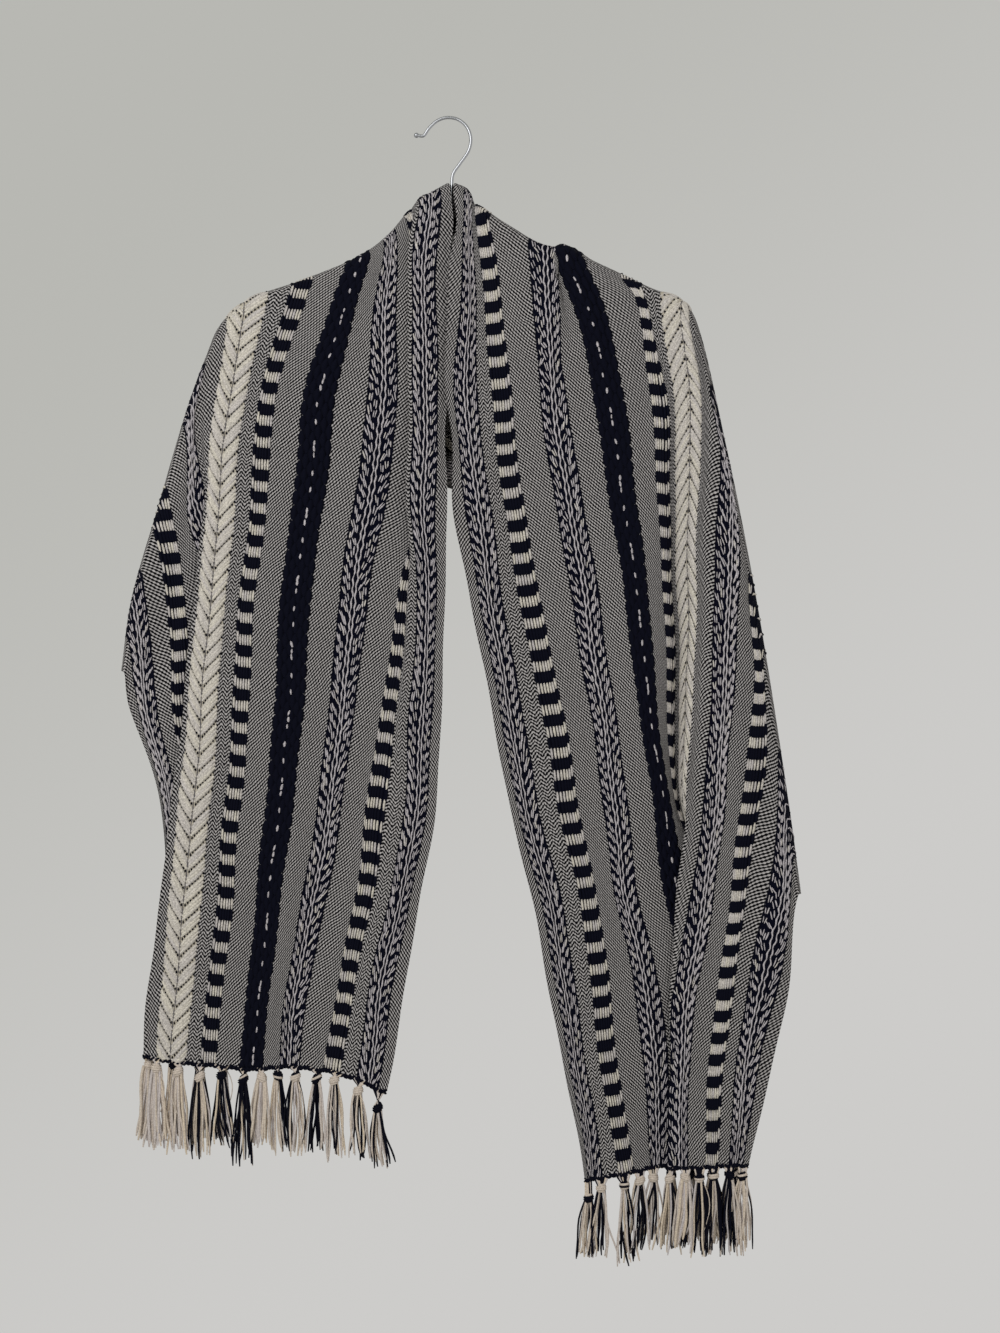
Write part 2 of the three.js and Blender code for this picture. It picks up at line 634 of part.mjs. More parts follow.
// ---- The object ----------------------------------------------------------------------------
const scarf = new THREE.Group();
function addPiece(name, geometry, material) {
  const mesh = new THREE.Mesh(geometry, material);
  mesh.name = name;
  scarf.add(mesh);
}

addPiece("front_left", frontWall(LEFT), cotton);
addPiece("front_right", frontWall(RIGHT), cotton);
addPiece("back_drape", backWall(), cotton);
addPiece("fringe_left", fringeOf(LEFT, 11), yarn);
addPiece("fringe_right", fringeOf(RIGHT, 29), yarn);
addPiece("hanger_bar", hangerBar(), plastic);
addPiece("hanger_hook", hangerHook(), chrome);

export default scarf;
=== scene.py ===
"""The looks of a woven cotton scarf with knotted fringe, worn round a clothes hanger.

Each stretch of cloth is worked out from tables like those of its solid, in millimetres, and made in
metres. Its ridges lie up to 5 mm higher than the solid's. The weave has its own coordinates on the cloth:
across, from the inner selvedge, and along, from the hem. The ground of the cloth is a thin shell. The
floating yarns that cover its stripes are meshes of their own, laid on paths over the shell, and so are the
tassels, the twined hems and the hook.
"""
import math

import bmesh
import bpy
import numpy as np
from mathutils import Matrix, Vector


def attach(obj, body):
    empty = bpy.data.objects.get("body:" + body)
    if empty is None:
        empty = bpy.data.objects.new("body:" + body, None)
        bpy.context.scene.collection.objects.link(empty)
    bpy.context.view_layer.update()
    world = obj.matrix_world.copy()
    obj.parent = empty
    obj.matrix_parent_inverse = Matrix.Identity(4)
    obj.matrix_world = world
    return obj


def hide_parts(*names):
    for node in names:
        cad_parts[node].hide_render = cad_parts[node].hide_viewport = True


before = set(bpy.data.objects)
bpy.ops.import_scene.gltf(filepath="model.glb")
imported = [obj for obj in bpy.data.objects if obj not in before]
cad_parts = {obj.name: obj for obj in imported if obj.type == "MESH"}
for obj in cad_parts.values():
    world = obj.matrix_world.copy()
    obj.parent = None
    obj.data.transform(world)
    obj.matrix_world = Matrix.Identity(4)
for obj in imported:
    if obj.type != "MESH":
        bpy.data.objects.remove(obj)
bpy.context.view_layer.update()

MM = 0.001
WRONG_SIDE = 1.0  # added to the weave's coordinate across the cloth on its wrong side, in metres

# ---- Sizes, in millimetres ------------------------------------------------------------------
CLOTH_WIDTH = 363
SHELL = 1.3  # thickness of the ground
RIDGE_LOOP = 7.5  # how far in front of the ridge, or behind it, the cloth turns down
RIDGE_DROP = 3.5  # how far below the ridge it does so
LAYER_STEP = 5  # between the layers of a closed pleat
FOLD_REACH = 3.4  # from a fold's tip to the lines beside it
FRONT_DEPTH = 11  # how far in front of the ridge the cloth hangs
BACK_DEPTH = 12  # how far behind the ridge it hangs
CLOSING = (0, 9)  # the overlap at which a pleat starts to close, and is closed
FIRST_LEVEL = 12  # how far below the ridge a line's own levels start
PLEAT_LEVEL = 7  # the level that tells which layer of a pleat lies in front
YARN_WIDTHS = (0.45, 1.1)  # how narrow and how wide yarns get where the cloth is squeezed or pulled
FORWARD = (0, -1, 0)
BACKWARD = (0, 1, 0)

# The two stretches in front, as lines of cloth that run from the ridge to the hem. "at" is a line's place
# in the weave, from the inner selvedge. "ridge" and "hem" are its ends, as x and z. "across" is its x at
# each level, or None where the level lies above it. "forward" is how far it stands in front there and at
# the hem, and "woven" its place in the weave where cloth slides into a fold or out of it. "fold" marks a
# fold's tip, and "spread" how far apart its two sides lie where they differ from FOLD_REACH.
LEFT = {
    "side": -1,
    "levels": [-85, -112, -166, -256, -346, -436, -526, -616, -706, -796],
    "lines": [
        {"name": "inner selvedge", "at": 0, "ridge": [0, -58.5], "hem": [-54, -878],
         "across": [1, 2, 3, 3, 2, -3, -4, -10, -24, -40],
         "forward": [-3, 0, 2, 2, 2, 2, 1, 0, 0, -1, -1]},
        {"name": "inner twist", "at": 21, "ridge": [-17, -69], "hem": [-70, -871],
         "across": [None, -19, -21, -20, -20, -18, -21, -27, -42, -62],
         "forward": [5, 7, 9, 9, 7, 4, 2, 1, 1, 0, 0]},
        {"name": "inner pleat edge", "at": 36, "ridge": [-30, -78], "hem": [-85, -864], "fold": "out",
         "across": [None, -33, -34, -35, -35, -31, -37, -42, -56, -76],
         "forward": [5, 6, 7.5, 7.5, 6.5, 4, 1, 0, 0, 0, 0]},
        {"name": "inner pleat root", "at": 56, "ridge": [-38, -87], "hem": [-107, -858], "fold": "in",
         "across": [None, -28, -17, -15, -18, -40, -53, -67, -78, -95],
         "forward": [1, 1, 2, 2, 0.5, -2, -2, -2, -2, -1, -1]},
        {"name": "middle twist", "at": 98, "ridge": [-54, -105.5], "hem": [-144, -854],
         "across": [None, None, -56, -60, -71, -85, -95, -105, -122, -138],
         "forward": [0, 0, 0, 0, 1, 1, 0, -1, 0, 0, 0]},
        {"name": "dark band", "at": 143, "ridge": [-79, -124], "hem": [-175, -856],
         "across": [None, None, -90, -114, -124, -134, -142, -149, -161, -168],
         "forward": [0, 0, 2, 4, 5, 5, 4, 4, 3, 3, 2]},
        {"name": "middle block", "at": 184, "ridge": [-131, -146], "hem": [-213, -852],
         "across": [None, None, -136, -161, -169, -179, -185, -191, -198, -210],
         "forward": [0, 0, 0, 2, 3, 3.5, 3.5, 3.5, 3.5, 3.5, 3.5]},
        {"name": "leaf stripe", "at": 218, "ridge": [-182, -165], "hem": [-246, -849],
         "across": [None, None, None, -193, -203, -210, -218, -225, -234, -243],
         "forward": [0, 0, 0, 2, 4, 5, 5, 5, 5, 4, 4]},
        {"name": "outer pleat edge", "at": 238, "ridge": [-206, -187.5], "hem": [-273, -845], "fold": "out",
         "across": [None, None, None, -212, -219, -228, -236, -248, -257, -271],
         "forward": [0, 0, 0, 2, 2.5, 2, 2, 2, 2, 1, 1],
         "woven": [238, 238, 238, 236, 235, 237, 237, 240, 242, 247, 247]},
        {"name": "outer pleat root", "at": 250, "ridge": [-217, -212], "hem": [-203, -847], "fold": "in",
         "across": [None, None, None, -224, -214, -203, -204, -203, -203, -203],
         "forward": [0, 0, 0, -3.5, -4, -4, -4, -4, -4, -4, -4],
         "woven": [250, 250, 250, 248, 249, 268, 273, 286, 296, 309, 312]},
        {"name": "second twist", "at": 265, "ridge": [-234, -258], "hem": [-212, -847],
         "across": [None, None, None, None, -230, -216, -221, -217, -215, -212],
         "forward": [0, 0, 0, 0, -5, -6.5, -6.5, -6.5, -6.5, -6.5, -6.5],
         "woven": [265, 265, 265, 265, 265, 280, 290, 300, 308, 318, 321]},
        {"name": "outer block", "at": 308, "ridge": [-261, -349], "hem": [-229, -848],
         "across": [None, None, None, None, None, -244, -246, -238, -236, -229],
         "forward": [0, 0, 0, 0, -4, -6, -6, -6, -6, -6.5, -6.5],
         "woven": [308, 308, 308, 308, 308, 308, 315, 322, 328, 334, 337]},
        {"name": "outer twist", "at": 342, "ridge": [-286, -436], "hem": [-240, -849],
         "across": [None, None, None, None, None, None, -274, -252, -248, -240],
         "forward": [0, 0, 0, 0, 0, -5, -6, -6.5, -6.5, -6.5, -6.5],
         "woven": [342, 342, 342, 342, 342, 342, 342, 342, 344, 346, 348]},
        {"name": "outer selvedge", "at": 363, "ridge": [-295, -500], "hem": [-256, -849],
         "across": [None, None, None, None, None, None, -289, -259, -256, -257],
         "forward": [0, 0, 0, 0, 0, 0, -6, -7, -7, -7, -7]},
    ],
}
RIGHT = {
    "side": 1,
    "levels": [-85, -112, -166, -256, -346, -436, -526, -616, -660, -706, -796, -886],
    "lines": [
        {"name": "inner selvedge", "at": 0, "ridge": [7.5, -58.5], "hem": [124, -957],
         "across": [5, 2, 0, -3, 3, 22, 38, 56, 66, 76, 94, 111],
         "forward": [3, 6, 8, 8, 5, 2, 1, 0, 0, 0, 0, 0, 0]},
        {"name": "inner twist", "at": 21, "ridge": [18, -64.5], "hem": [131, -955],
         "across": [16, 15, 14, 17, 28, 40, 54, 70, 81, 92, 108, 122],
         "forward": [3, 5, 6, 6, 5, 4, 3, 3, 3, 2, 2, 2, 2]},
        {"name": "inner block", "at": 55, "ridge": [32, -83], "hem": [163, -950],
         "across": [None, 34, 40, 51, 60, 76, 94, 110, 119, 128, 140, 151],
         "forward": [0, 1, 1, 0, 0, 0, 0, 0, -0.5, -1, -1, -1, 0]},
        {"name": "middle twist", "at": 98, "ridge": [88, -115], "hem": [190, -946],
         "across": [None, None, 90, 97, 110, 125, 138, 150, 156, 162, 181, 191],
         "forward": [0, 0, 3, 4, 3, 3, 3, 2, 1, 0, -4, -7, -7]},
        {"name": "dark band", "at": 143, "ridge": [108, -120], "hem": [233, -945],
         "across": [None, None, 124, 145, 159, 171, 182, 194, 201, 210, 229, 234],
         "forward": [0, 0, 0, 1, 2, 3, 3, 0, -4, -7, -9, -9, -9]},
        {"name": "middle block", "at": 184, "ridge": [165, -145], "hem": [258, -944],
         "across": [None, None, 176, 189, 195, 198, 201, 206, 222, 244, 260, 261],
         "forward": [0, 0, 0, 0, -3, -5, -6, -9, -10, -10, -10, -9.5, -9.5],
         "woven": [184, 184, 184, 184, 184, 184, 184, 184, 183, 182, 176, 173, 172]},
        {"name": "valley root", "at": 197, "ridge": [185, -154.5], "hem": [267, -944],
         "fold": "out", "spread": 1.5,
         "across": [None, None, None, 201, 204, 206, 209, 211, 230, 256, 271, 271],
         "forward": [0, 0, -1, -4, -10, -14, -16, -16, -11.5, -7.5, -7.5, -7.5, -7.5],
         "woven": [197, 197, 197, 197, 197, 197, 197, 199, 197, 192, 188, 185, 184]},
        {"name": "leaf stripe", "at": 218, "ridge": [212, -165], "hem": [234, -945],
         "across": [None, None, None, 217, 217, 217, 215, 214.5, 221, 230, 238, 237],
         "forward": [0, 0, 0, 0, -2, -3, -3, -5, -5, -4, -4, -4, -4]},
        {"name": "valley edge", "at": 236, "ridge": [223, -179], "hem": [199, -945],
         "fold": "in", "spread": 1.5,
         "across": [None, None, None, 230, 227, 226, 222, 217.5, 211, 206, 202, 200],
         "forward": [0, 0, 0, 1, 4, 5, 6, 5, 3, 0.5, 0.5, 0.5, 0.5],
         "woven": [236, 236, 236, 236, 236, 236, 236, 236, 238, 242, 252, 254, 254]},
        {"name": "second twist", "at": 265, "ridge": [252, -296], "hem": [210, -945],
         "across": [None, None, None, None, 256, 254, 248, 244, 238, 231, 217, 211],
         "forward": [0, 0, 0, 0, 2, 5, 7, 7, 5.5, 4, 4, 3, 3]},
        {"name": "outer block", "at": 308, "ridge": [280, -438], "hem": [236, -944],
         "across": [None, None, None, None, None, None, 280, 271, 265, 259, 248, 239],
         "forward": [0, 0, 0, 0, 0, 0, 4, 6, 6, 6, 5, 4, 3]},
        {"name": "outer twist", "at": 342, "ridge": [310, -628], "hem": [260, -943],
         "across": [None, None, None, None, None, None, None, None, None, 302, 279, 266],
         "forward": [0, 0, 0, 0, 0, 0, 0, 2, 2.5, 3, 3, 2, 1]},
        {"name": "outer selvedge", "at": 363, "ridge": [320, -702], "hem": [272, -944],
         "across": [None, None, None, None, None, None, None, None, None, 319, 305, 286],
         "forward": [0, 0, 0, 0, 0, 0, 0, 0, 0, 0, 0, 0, 0]},
    ],
}

# How far the back's middle hangs below the hook, by its place in the weave.
BACK_MIDDLE = {0: 62, 55: 92, 98: 120, 143: 152, 184: 180, 218: 206, 265: 250, 308: 294, 363: 335}
BACK_SHARES = (0.2, 0.4, 0.6, 0.8)  # of the way from ridge to ridge, where the back's route has points
BACK_BOW = 3  # how far the back's middle bows out
SWAG = {"height": 6, "spacing": 58, "start": 70}  # the waves that hang across the back

HOOK = {
    "wire": 3,
    "route": [
        [-27.6, -14.6], [-21.8, -15], [-17, -8.6], [-9, -1.3], [0, 1.5], [10, -0.4], [17.8, -7.2],
        [21.2, -17.5], [19.2, -28.5], [11.5, -40], [5.2, -49.5], [4, -58], [4, -104.2],
    ],
    "steps": 140,
    "sides": 16,
}
HOOK_ENDS = [
    {"name": "ball tip", "at": [-28, -14.6], "radius": 2.4, "squash": 1},
    {"name": "collar", "at": [4, -101], "radius": 2.7, "squash": 0.6},
]
BALL_FACES = {"u_segments": 24, "v_segments": 16}

# How finely the cloth is worked out.
COLUMN_STEP = 3.3
FOLD_STEP = 1.3  # between columns where a fold turns
TURN_ROWS = [0, 1.5, 3, 4.5, 6.5, 9]  # the first rows, by their distance from the ridge
TURN_END = 12
FRONT_ROWS = 150
BACK_ROWS = 90
CURVE_STEPS = 200
BISECTIONS = 12  # halvings, and rounds of them, that find a place on the cloth by its weave
ROUNDS = 4
TINY = 1e-6

# The stripes of the weave, by their distance from the inner selvedge.
TWISTS = [(10, 32), (87, 109), (254, 276), (331, 353)]
BLOCKS = [(46, 63), (177, 191), (300, 317)]
BAND = (131, 155)
LEAVES = (204, 232)
TWIST_PERIOD = 10.4


# ---- Smooth curves --------------------------------------------------------------------------
def smooth(points, shares):
    """Points on a smooth curve through the given ones, at shares from 0 to 1 of its steps."""
    points = np.asarray(points, float)
    before = 2 * points[..., :1, :] - points[..., 1:2, :]
    after = 2 * points[..., -1:, :] - points[..., -2:-1, :]
    padded = np.concatenate([before, points, after], axis=-2)
    steps = points.shape[-2] - 1
    spot = np.clip(np.asarray(shares, float) * steps, 0, steps - TINY)
    step = spot.astype(int)
    t = (spot - step)[:, None]
    p0, p1, p2, p3 = (padded[..., step + k, :] for k in range(4))
    d0, d1, d2 = (
        np.maximum(np.linalg.norm(b - a, axis=-1, keepdims=True) ** 0.5, TINY)
        for a, b in ((p0, p1), (p1, p2), (p2, p3))
    )
    leave = ((p1 - p0) / d0 - (p2 - p0) / (d0 + d1) + (p2 - p1) / d1) * d1
    arrive = ((p2 - p1) / d1 - (p3 - p1) / (d1 + d2) + (p3 - p2) / d2) * d1
    return (
        p1
        + leave * t
        + (3 * (p2 - p1) - 2 * leave - arrive) * t**2
        + (2 * (p1 - p2) + leave + arrive) * t**3
    )


def measured(points):
    """Shares of a curve's steps, and the lengths of curve up to them."""
    shares = np.linspace(0, 1, CURVE_STEPS + 1)
    pieces = np.linalg.norm(np.diff(smooth(points, shares), axis=0), axis=1)
    return shares, np.concatenate([[0], np.cumsum(pieces)])


def even_steps(count):
    """Shares from 0 to 1."""
    return np.linspace(0, 1, count)


def eased(value, low, high):
    """A share that goes softly from 0 to 1 as a value goes from low to high."""
    share = np.clip((value - low) / (high - low), 0, 1)
    return share * share * (3 - 2 * share)


def unit(vectors):
    return vectors / np.maximum(np.linalg.norm(vectors, axis=-1, keepdims=True), TINY)


# ---- How the cloth hangs --------------------------------------------------------------------
def ridge_points(panel, at):
    """Where lines of cloth cross the hanger, and the way from there into the cloth that hangs below."""
    lines = panel["lines"]
    points = [(line["ridge"][0], 0, line["ridge"][1]) for line in lines]
    shares = np.interp(at, [line["at"] for line in lines], even_steps(len(lines)))
    nudge = 1e-4
    ahead = smooth(points, np.clip(shares + nudge, 0, 1))
    behind = smooth(points, np.clip(shares - nudge, 0, 1))
    along = unit(ahead - behind) * panel["side"]
    inward = np.stack([along[:, 2], np.zeros(len(along)), -along[:, 0]], axis=1)
    return smooth(points, shares), inward


def across_at(line, index):
    """A line's x at a level, or at the hem, which comes after the last level."""
    return line["across"][index] if index < len(line["across"]) else line["hem"][0]


def pleat_closed(panel, edge, root, index):
    """How far a pleat is closed at a level, from 0 to 1."""
    places = across_at(edge, index), across_at(root, index)
    if None in places:
        return 0
    outward = panel["side"] * (1 if edge["fold"] == "out" else -1)
    return float(eased((places[0] - places[1]) * outward, *CLOSING))


def line_curve(panel, line, way=0, pair=None):
    """One line of cloth from the ridge to the hem. Beside a fold's tip, way tells which side it is on."""
    at = line["at"] + way * FOLD_REACH
    start, inward = (found[0] for found in ridge_points(panel, [at]))
    points = [start, start + inward * RIDGE_DROP - np.array([0, RIDGE_LOOP, 0])]
    woven = [at, at]
    heights = [*panel["levels"], line["hem"][1]]
    for index, height in enumerate(heights):
        at_hem = index == len(panel["levels"])
        across = across_at(line, index)
        if across is None or (not at_hem and height > start[2] - FIRST_LEVEL):
            continue
        forward = line["forward"][index]
        if way:
            closed = pleat_closed(panel, *pair, index)
            out = line["fold"] == "out"
            outward = panel["side"] * (1 if out else -1)
            spread = way * (1 if out else -1) * outward * line.get("spread", FOLD_REACH)
            across += spread + (-outward * FOLD_REACH - spread) * closed
            lift = 1 if pair[0]["forward"][PLEAT_LEVEL] >= pair[1]["forward"][PLEAT_LEVEL] else -1
            forward -= way * lift * LAYER_STEP / 2 * closed
        points.append(np.array([across, -FRONT_DEPTH - forward, height]))
        woven.append(line.get("woven", [line["at"]] * len(heights))[index] + way * FOLD_REACH)
    return {"at": at, "points": np.array(points), "woven": woven}


def panel_lines(panel):
    """Every line of a panel, with one on each side of a fold's tip."""
    folds = [line for line in panel["lines"] if "fold" in line]
    lines = []
    for line in panel["lines"]:
        if "fold" not in line:
            lines.append(line_curve(panel, line))
            continue
        first = folds.index(line) // 2 * 2
        pair = folds[first : first + 2]
        lines += [line_curve(panel, line, way, pair) for way in (-1, 0, 1)]
    return lines


def cloth_columns(folds):
    """The places across the weave that are worked out, which lie closer together near a fold's tip."""
    near = [at + np.arange(-FOLD_REACH, FOLD_REACH + FOLD_STEP, FOLD_STEP) for at in folds]
    wanted = np.concatenate([np.arange(0, CLOTH_WIDTH, COLUMN_STEP), [CLOTH_WIDTH], *near])
    wanted = np.unique(np.clip(wanted, 0, CLOTH_WIDTH).round(2))
    keep = [0]
    for at in wanted[1:]:
        if at - keep[-1] >= FOLD_STEP / 2:
            keep.append(at)
    keep[-1] = CLOTH_WIDTH
    return np.array(keep)


class Stretch:
    """One stretch of cloth, as a grid of rows across it, with the weave's coordinates on it."""

    def __init__(self, name, points, across, along, raised, first=None, last=None):
        self.name = name
        self.points, self.across, self.along = points, across, along
        down = np.gradient(points, axis=0)
        for row, way in ((0, first), (-1, last)):
            if way is not None:
                down[row] = way
        self.normals = unit(np.cross(np.gradient(points, axis=1), down)) * raised
        wide = np.linalg.norm(np.gradient(points, axis=1), axis=-1)
        woven_wide = np.maximum(np.abs(np.gradient(across, axis=1)), TINY)
        self.width = np.clip(wide / woven_wide, *YARN_WIDTHS)

    def look_up(self, field, row, column):
        """A field's values between the grid's points."""
        rows, columns = field.shape[:2]
        row = np.clip(row, 0, rows - 1 - TINY)
        column = np.clip(column, 0, columns - 1 - TINY)
        r, c = row.astype(int), column.astype(int)
        a, b = row - r, column - c
        if field.ndim == 3:
            a, b = a[..., None], b[..., None]
        upper = field[r, c] * (1 - b) + field[r, c + 1] * b
        lower = field[r + 1, c] * (1 - b) + field[r + 1, c + 1] * b
        return upper * (1 - a) + lower * a

    def find(self, field, wanted, fixed, by_row):
        """Where a field that rises or falls steadily has the wanted values, along one way of the grid."""
        low = np.zeros(wanted.shape)
        high = np.full(wanted.shape, field.shape[0 if by_row else 1] - 1.0)
        rising = field[-1, 0] > field[0, 0] if by_row else field[0, -1] > field[0, 0]
        for _ in range(BISECTIONS):
            middle = (low + high) / 2
            where = (middle, fixed) if by_row else (fixed, middle)
            below = (self.look_up(field, *where) < wanted) == rising
            low, high = np.where(below, middle, low), np.where(below, high, middle)
        return (low + high) / 2

    def locate(self, across, along):
        """The row and the column of places that are given by the weave's coordinates."""
        row = np.full(across.shape, self.points.shape[0] / 2)
        for _ in range(ROUNDS):
            column = self.find(self.across, across, row, by_row=False)
            row = self.find(self.along, along, column, by_row=True)
        return row, column

    def reach(self, across):
        """The lowest and highest distance along the cloth that this stretch has, near its ends."""
        column = self.find(self.across, across, np.zeros(across.shape), by_row=False)
        ends = [self.look_up(self.along, np.full(across.shape, end), column)
                for end in (0.0, self.points.shape[0] - 1.0)]
        return np.minimum(*ends), np.maximum(*ends)

    def place(self, across, along):
        """Points of the cloth and its normals on the raised side."""
        row, column = self.locate(across, along)
        return self.look_up(self.points, row, column), unit(self.look_up(self.normals, row, column))

    def width_at(self, across, along):
        """How wide the cloth's stripes are there, as a share of their width when flat."""
        return self.look_up(self.width, *self.locate(across, along))


def front_stretch(name, panel):
    """One of the two stretches in front, from the ridge to the hem."""
    lines = panel_lines(panel)
    ats = [line["at"] for line in lines]
    places, woven, along = [], [], []
    for line in lines:
        shares, lengths = measured(line["points"])
        down = np.concatenate([TURN_ROWS, np.linspace(TURN_END, lengths[-1], FRONT_ROWS)])
        share = np.interp(down, lengths, shares)
        places.append(smooth(line["points"], share))
        woven.append(np.interp(share, even_steps(len(line["woven"])), line["woven"]))
        along.append(lengths[-1] - down)
    folds = [line["at"] for line in panel["lines"] if "fold" in line]
    columns = cloth_columns(folds)

    def spread(rows):
        return np.stack([np.interp(columns, ats, row) for row in np.transpose(rows)])

    points = smooth(np.swapaxes(places, 0, 1), np.interp(columns, ats, even_steps(len(ats))))
    return settled(name, points, spread(woven), spread(along), -panel["side"], first=FORWARD)


def back_stretch(name, start_along):
    """The back, from the left ridge to the right one. start_along(at) continues the left front."""
    columns = cloth_columns([])
    ends, inwards = zip(*(ridge_points(panel, columns) for panel in (LEFT, RIGHT)))
    turns = [end + inward * RIDGE_DROP + np.array([0, RIDGE_LOOP, 0]) for end, inward in zip(ends, inwards)]
    drop = np.interp(columns, list(BACK_MIDDLE), list(BACK_MIDDLE.values()))
    wave = SWAG["height"] * np.sin(2 * math.pi * columns / SWAG["spacing"])
    swag = wave * eased(columns, SWAG["start"], SWAG["start"] + SWAG["spacing"])
    sag = -drop - (turns[0][:, 2] + turns[1][:, 2]) / 2
    routes = [ends[0], turns[0]]
    for share in BACK_SHARES:
        bow = 4 * share * (1 - share)
        point = turns[0] * (1 - share) + turns[1] * share
        point[:, 1] = BACK_DEPTH + (swag + BACK_BOW) * bow
        point[:, 2] += sag * bow
        routes.append(point)
    routes = np.stack([*routes, turns[1], ends[1]], axis=1)
    fraction = even_steps(BACK_ROWS)
    fraction = (fraction + eased(fraction, 0, 1)) / 2
    points, along = [], []
    for route, start in zip(routes, start_along(columns)):
        shares, lengths = measured(route)
        down = fraction * lengths[-1]
        points.append(smooth(route, np.interp(down, lengths, shares)))
        along.append(start + down)
    points = np.swapaxes(points, 0, 1)
    along = np.transpose(along)
    across = np.tile(columns, (BACK_ROWS, 1))
    return settled(name, points, across, along, -1, first=BACKWARD, last=FORWARD)


# How the cloth departs from its solid, by stretch. Creases are soft ridges, or troughs where their depth
# is negative: from, to, depth, width. Slides push the stripes sideways: centre, push, and reach across and
# along. Places are the weave's: across, along.
CREASES = {
    "cloth_left": [
        ((60, 735), (58, 470), -3.0, 9), ((74, 745), (80, 560), 2.0, 10),
        ((98, 740), (104, 430), 2.2, 12), ((118, 700), (150, 380), -2.4, 15),
        ((172, 640), (164, 250), 2.2, 14), ((240, 560), (196, 330), -1.8, 12),
        ((70, 300), (92, 60), -2.4, 12), ((128, 270), (116, 30), 2.4, 15),
        ((196, 300), (206, 90), -1.8, 10), ((30, 260), (22, 40), 1.8, 10),
        ((150, 200), (160, 20), -1.8, 10), ((45, 120), (60, 10), -1.5, 8),
        ((300, 420), (330, 240), 2.4, 14), ((268, 460), (290, 300), -2.2, 12),
    ],
    "cloth_right": [
        ((38, 880), (34, 650), -3.0, 8), ((66, 870), (74, 620), 2.2, 11),
        ((120, 880), (117, 715), -3.8, 6.5), ((138, 880), (143, 690), 3.2, 9),
        ((106, 770), (98, 690), -2.4, 7), ((92, 640), (120, 420), -2.2, 14),
        ((64, 560), (48, 200), 2.4, 14), ((112, 420), (126, 150), 2.0, 12),
        ((78, 330), (86, 60), -2.4, 12), ((30, 400), (24, 120), -1.8, 9),
        ((120, 160), (132, 10), -2.4, 10), ((40, 140), (58, 15), 1.8, 10),
        ((188, 800), (160, 600), -2.2, 13), ((272, 600), (286, 300), 2.8, 14),
        ((320, 430), (318, 170), -2.6, 12), ((345, 300), (340, 60), 2.0, 10),
        ((282, 240), (300, 40), -2.2, 11), ((222, 760), (210, 640), 1.8, 10),
    ],
    "cloth_back": [
        ((60, 830), (88, 1010), 3.4, 13), ((110, 840), (150, 1060), -3.0, 15),
        ((190, 760), (205, 1000), 3.2, 14), ((250, 650), (262, 960), -3.4, 16),
        ((300, 560), (316, 900), 3.4, 16), ((340, 500), (338, 800), -2.2, 12),
        ((40, 1120), (70, 960), -2.6, 11), ((130, 1130), (118, 950), 3.0, 14),
        ((220, 1150), (232, 900), -3.0, 14), ((290, 1060), (276, 860), 3.0, 15),
        ((160, 960), (240, 1120), 2.6, 14),
    ],
}
SLIDES = {
    "cloth_left": [
        ((98, 600), 1.5, 18, 60), ((143, 460), -1.6, 20, 70), ((55, 330), 1.6, 14, 60),
        ((184, 180), -1.4, 16, 60), ((21, 520), -1.2, 12, 50), ((0, 790), 3.6, 10, 22),
        ((0, 592), -5, 7, 45),
    ],
    "cloth_right": [
        ((109, 835), 7, 11, 50), ((131, 835), -4.5, 12, 60), ((110, 735), -3, 10, 26),
        ((55, 600), -1.4, 14, 60), ((98, 420), 1.6, 16, 60), ((55, 250), 1.5, 14, 50),
        ((0, 868), 4.5, 10, 22), ((0, 679), 6, 7.5, 45),
    ],
    "cloth_back": [],
}
# How much higher the cloth lies where it turns over the hanger, by its place in the weave.
HUMPS = {
    "left": {0: 0, 20: 1, 28: 3.5, 35: 0, 41: -2, 48: 0, 363: 0},
    "right": {
        0: 0, 20: 1, 30: 0, 38: -5, 46: 0, 58: 3, 78: 2, 90: 0, 128: 0, 139: 5.5, 149: 5, 160: 1, 363: 0,
    },
}
HUMP_REACH = 34  # humps fade out within this distance of the ridge
NEAR_RIDGE = 30  # creases and slides fade out within this distance of it
WOBBLE = [(0.8, 31, 40), (0.55, 17, -25)]  # of the stripes: how far, and its reach along and across
GATHER = {"dip": 1.6, "reach": 7, "spacing": CLOTH_WIDTH / 18}  # of the hem, at each of its tassels
TUCK = {"reach": 46, "push": 10, "fade": (60, 240)}  # its width, its push, and how far from the ridge it ends


def tucked(across, from_ridge):
    """Near the hook the right side's inner stripe lies further out, so that more of its selvedge shows."""
    push = TUCK["push"] * np.sin(math.pi * np.clip(across / TUCK["reach"], 0, 1))
    return across - push * (1 - eased(from_ridge, *TUCK["fade"]))


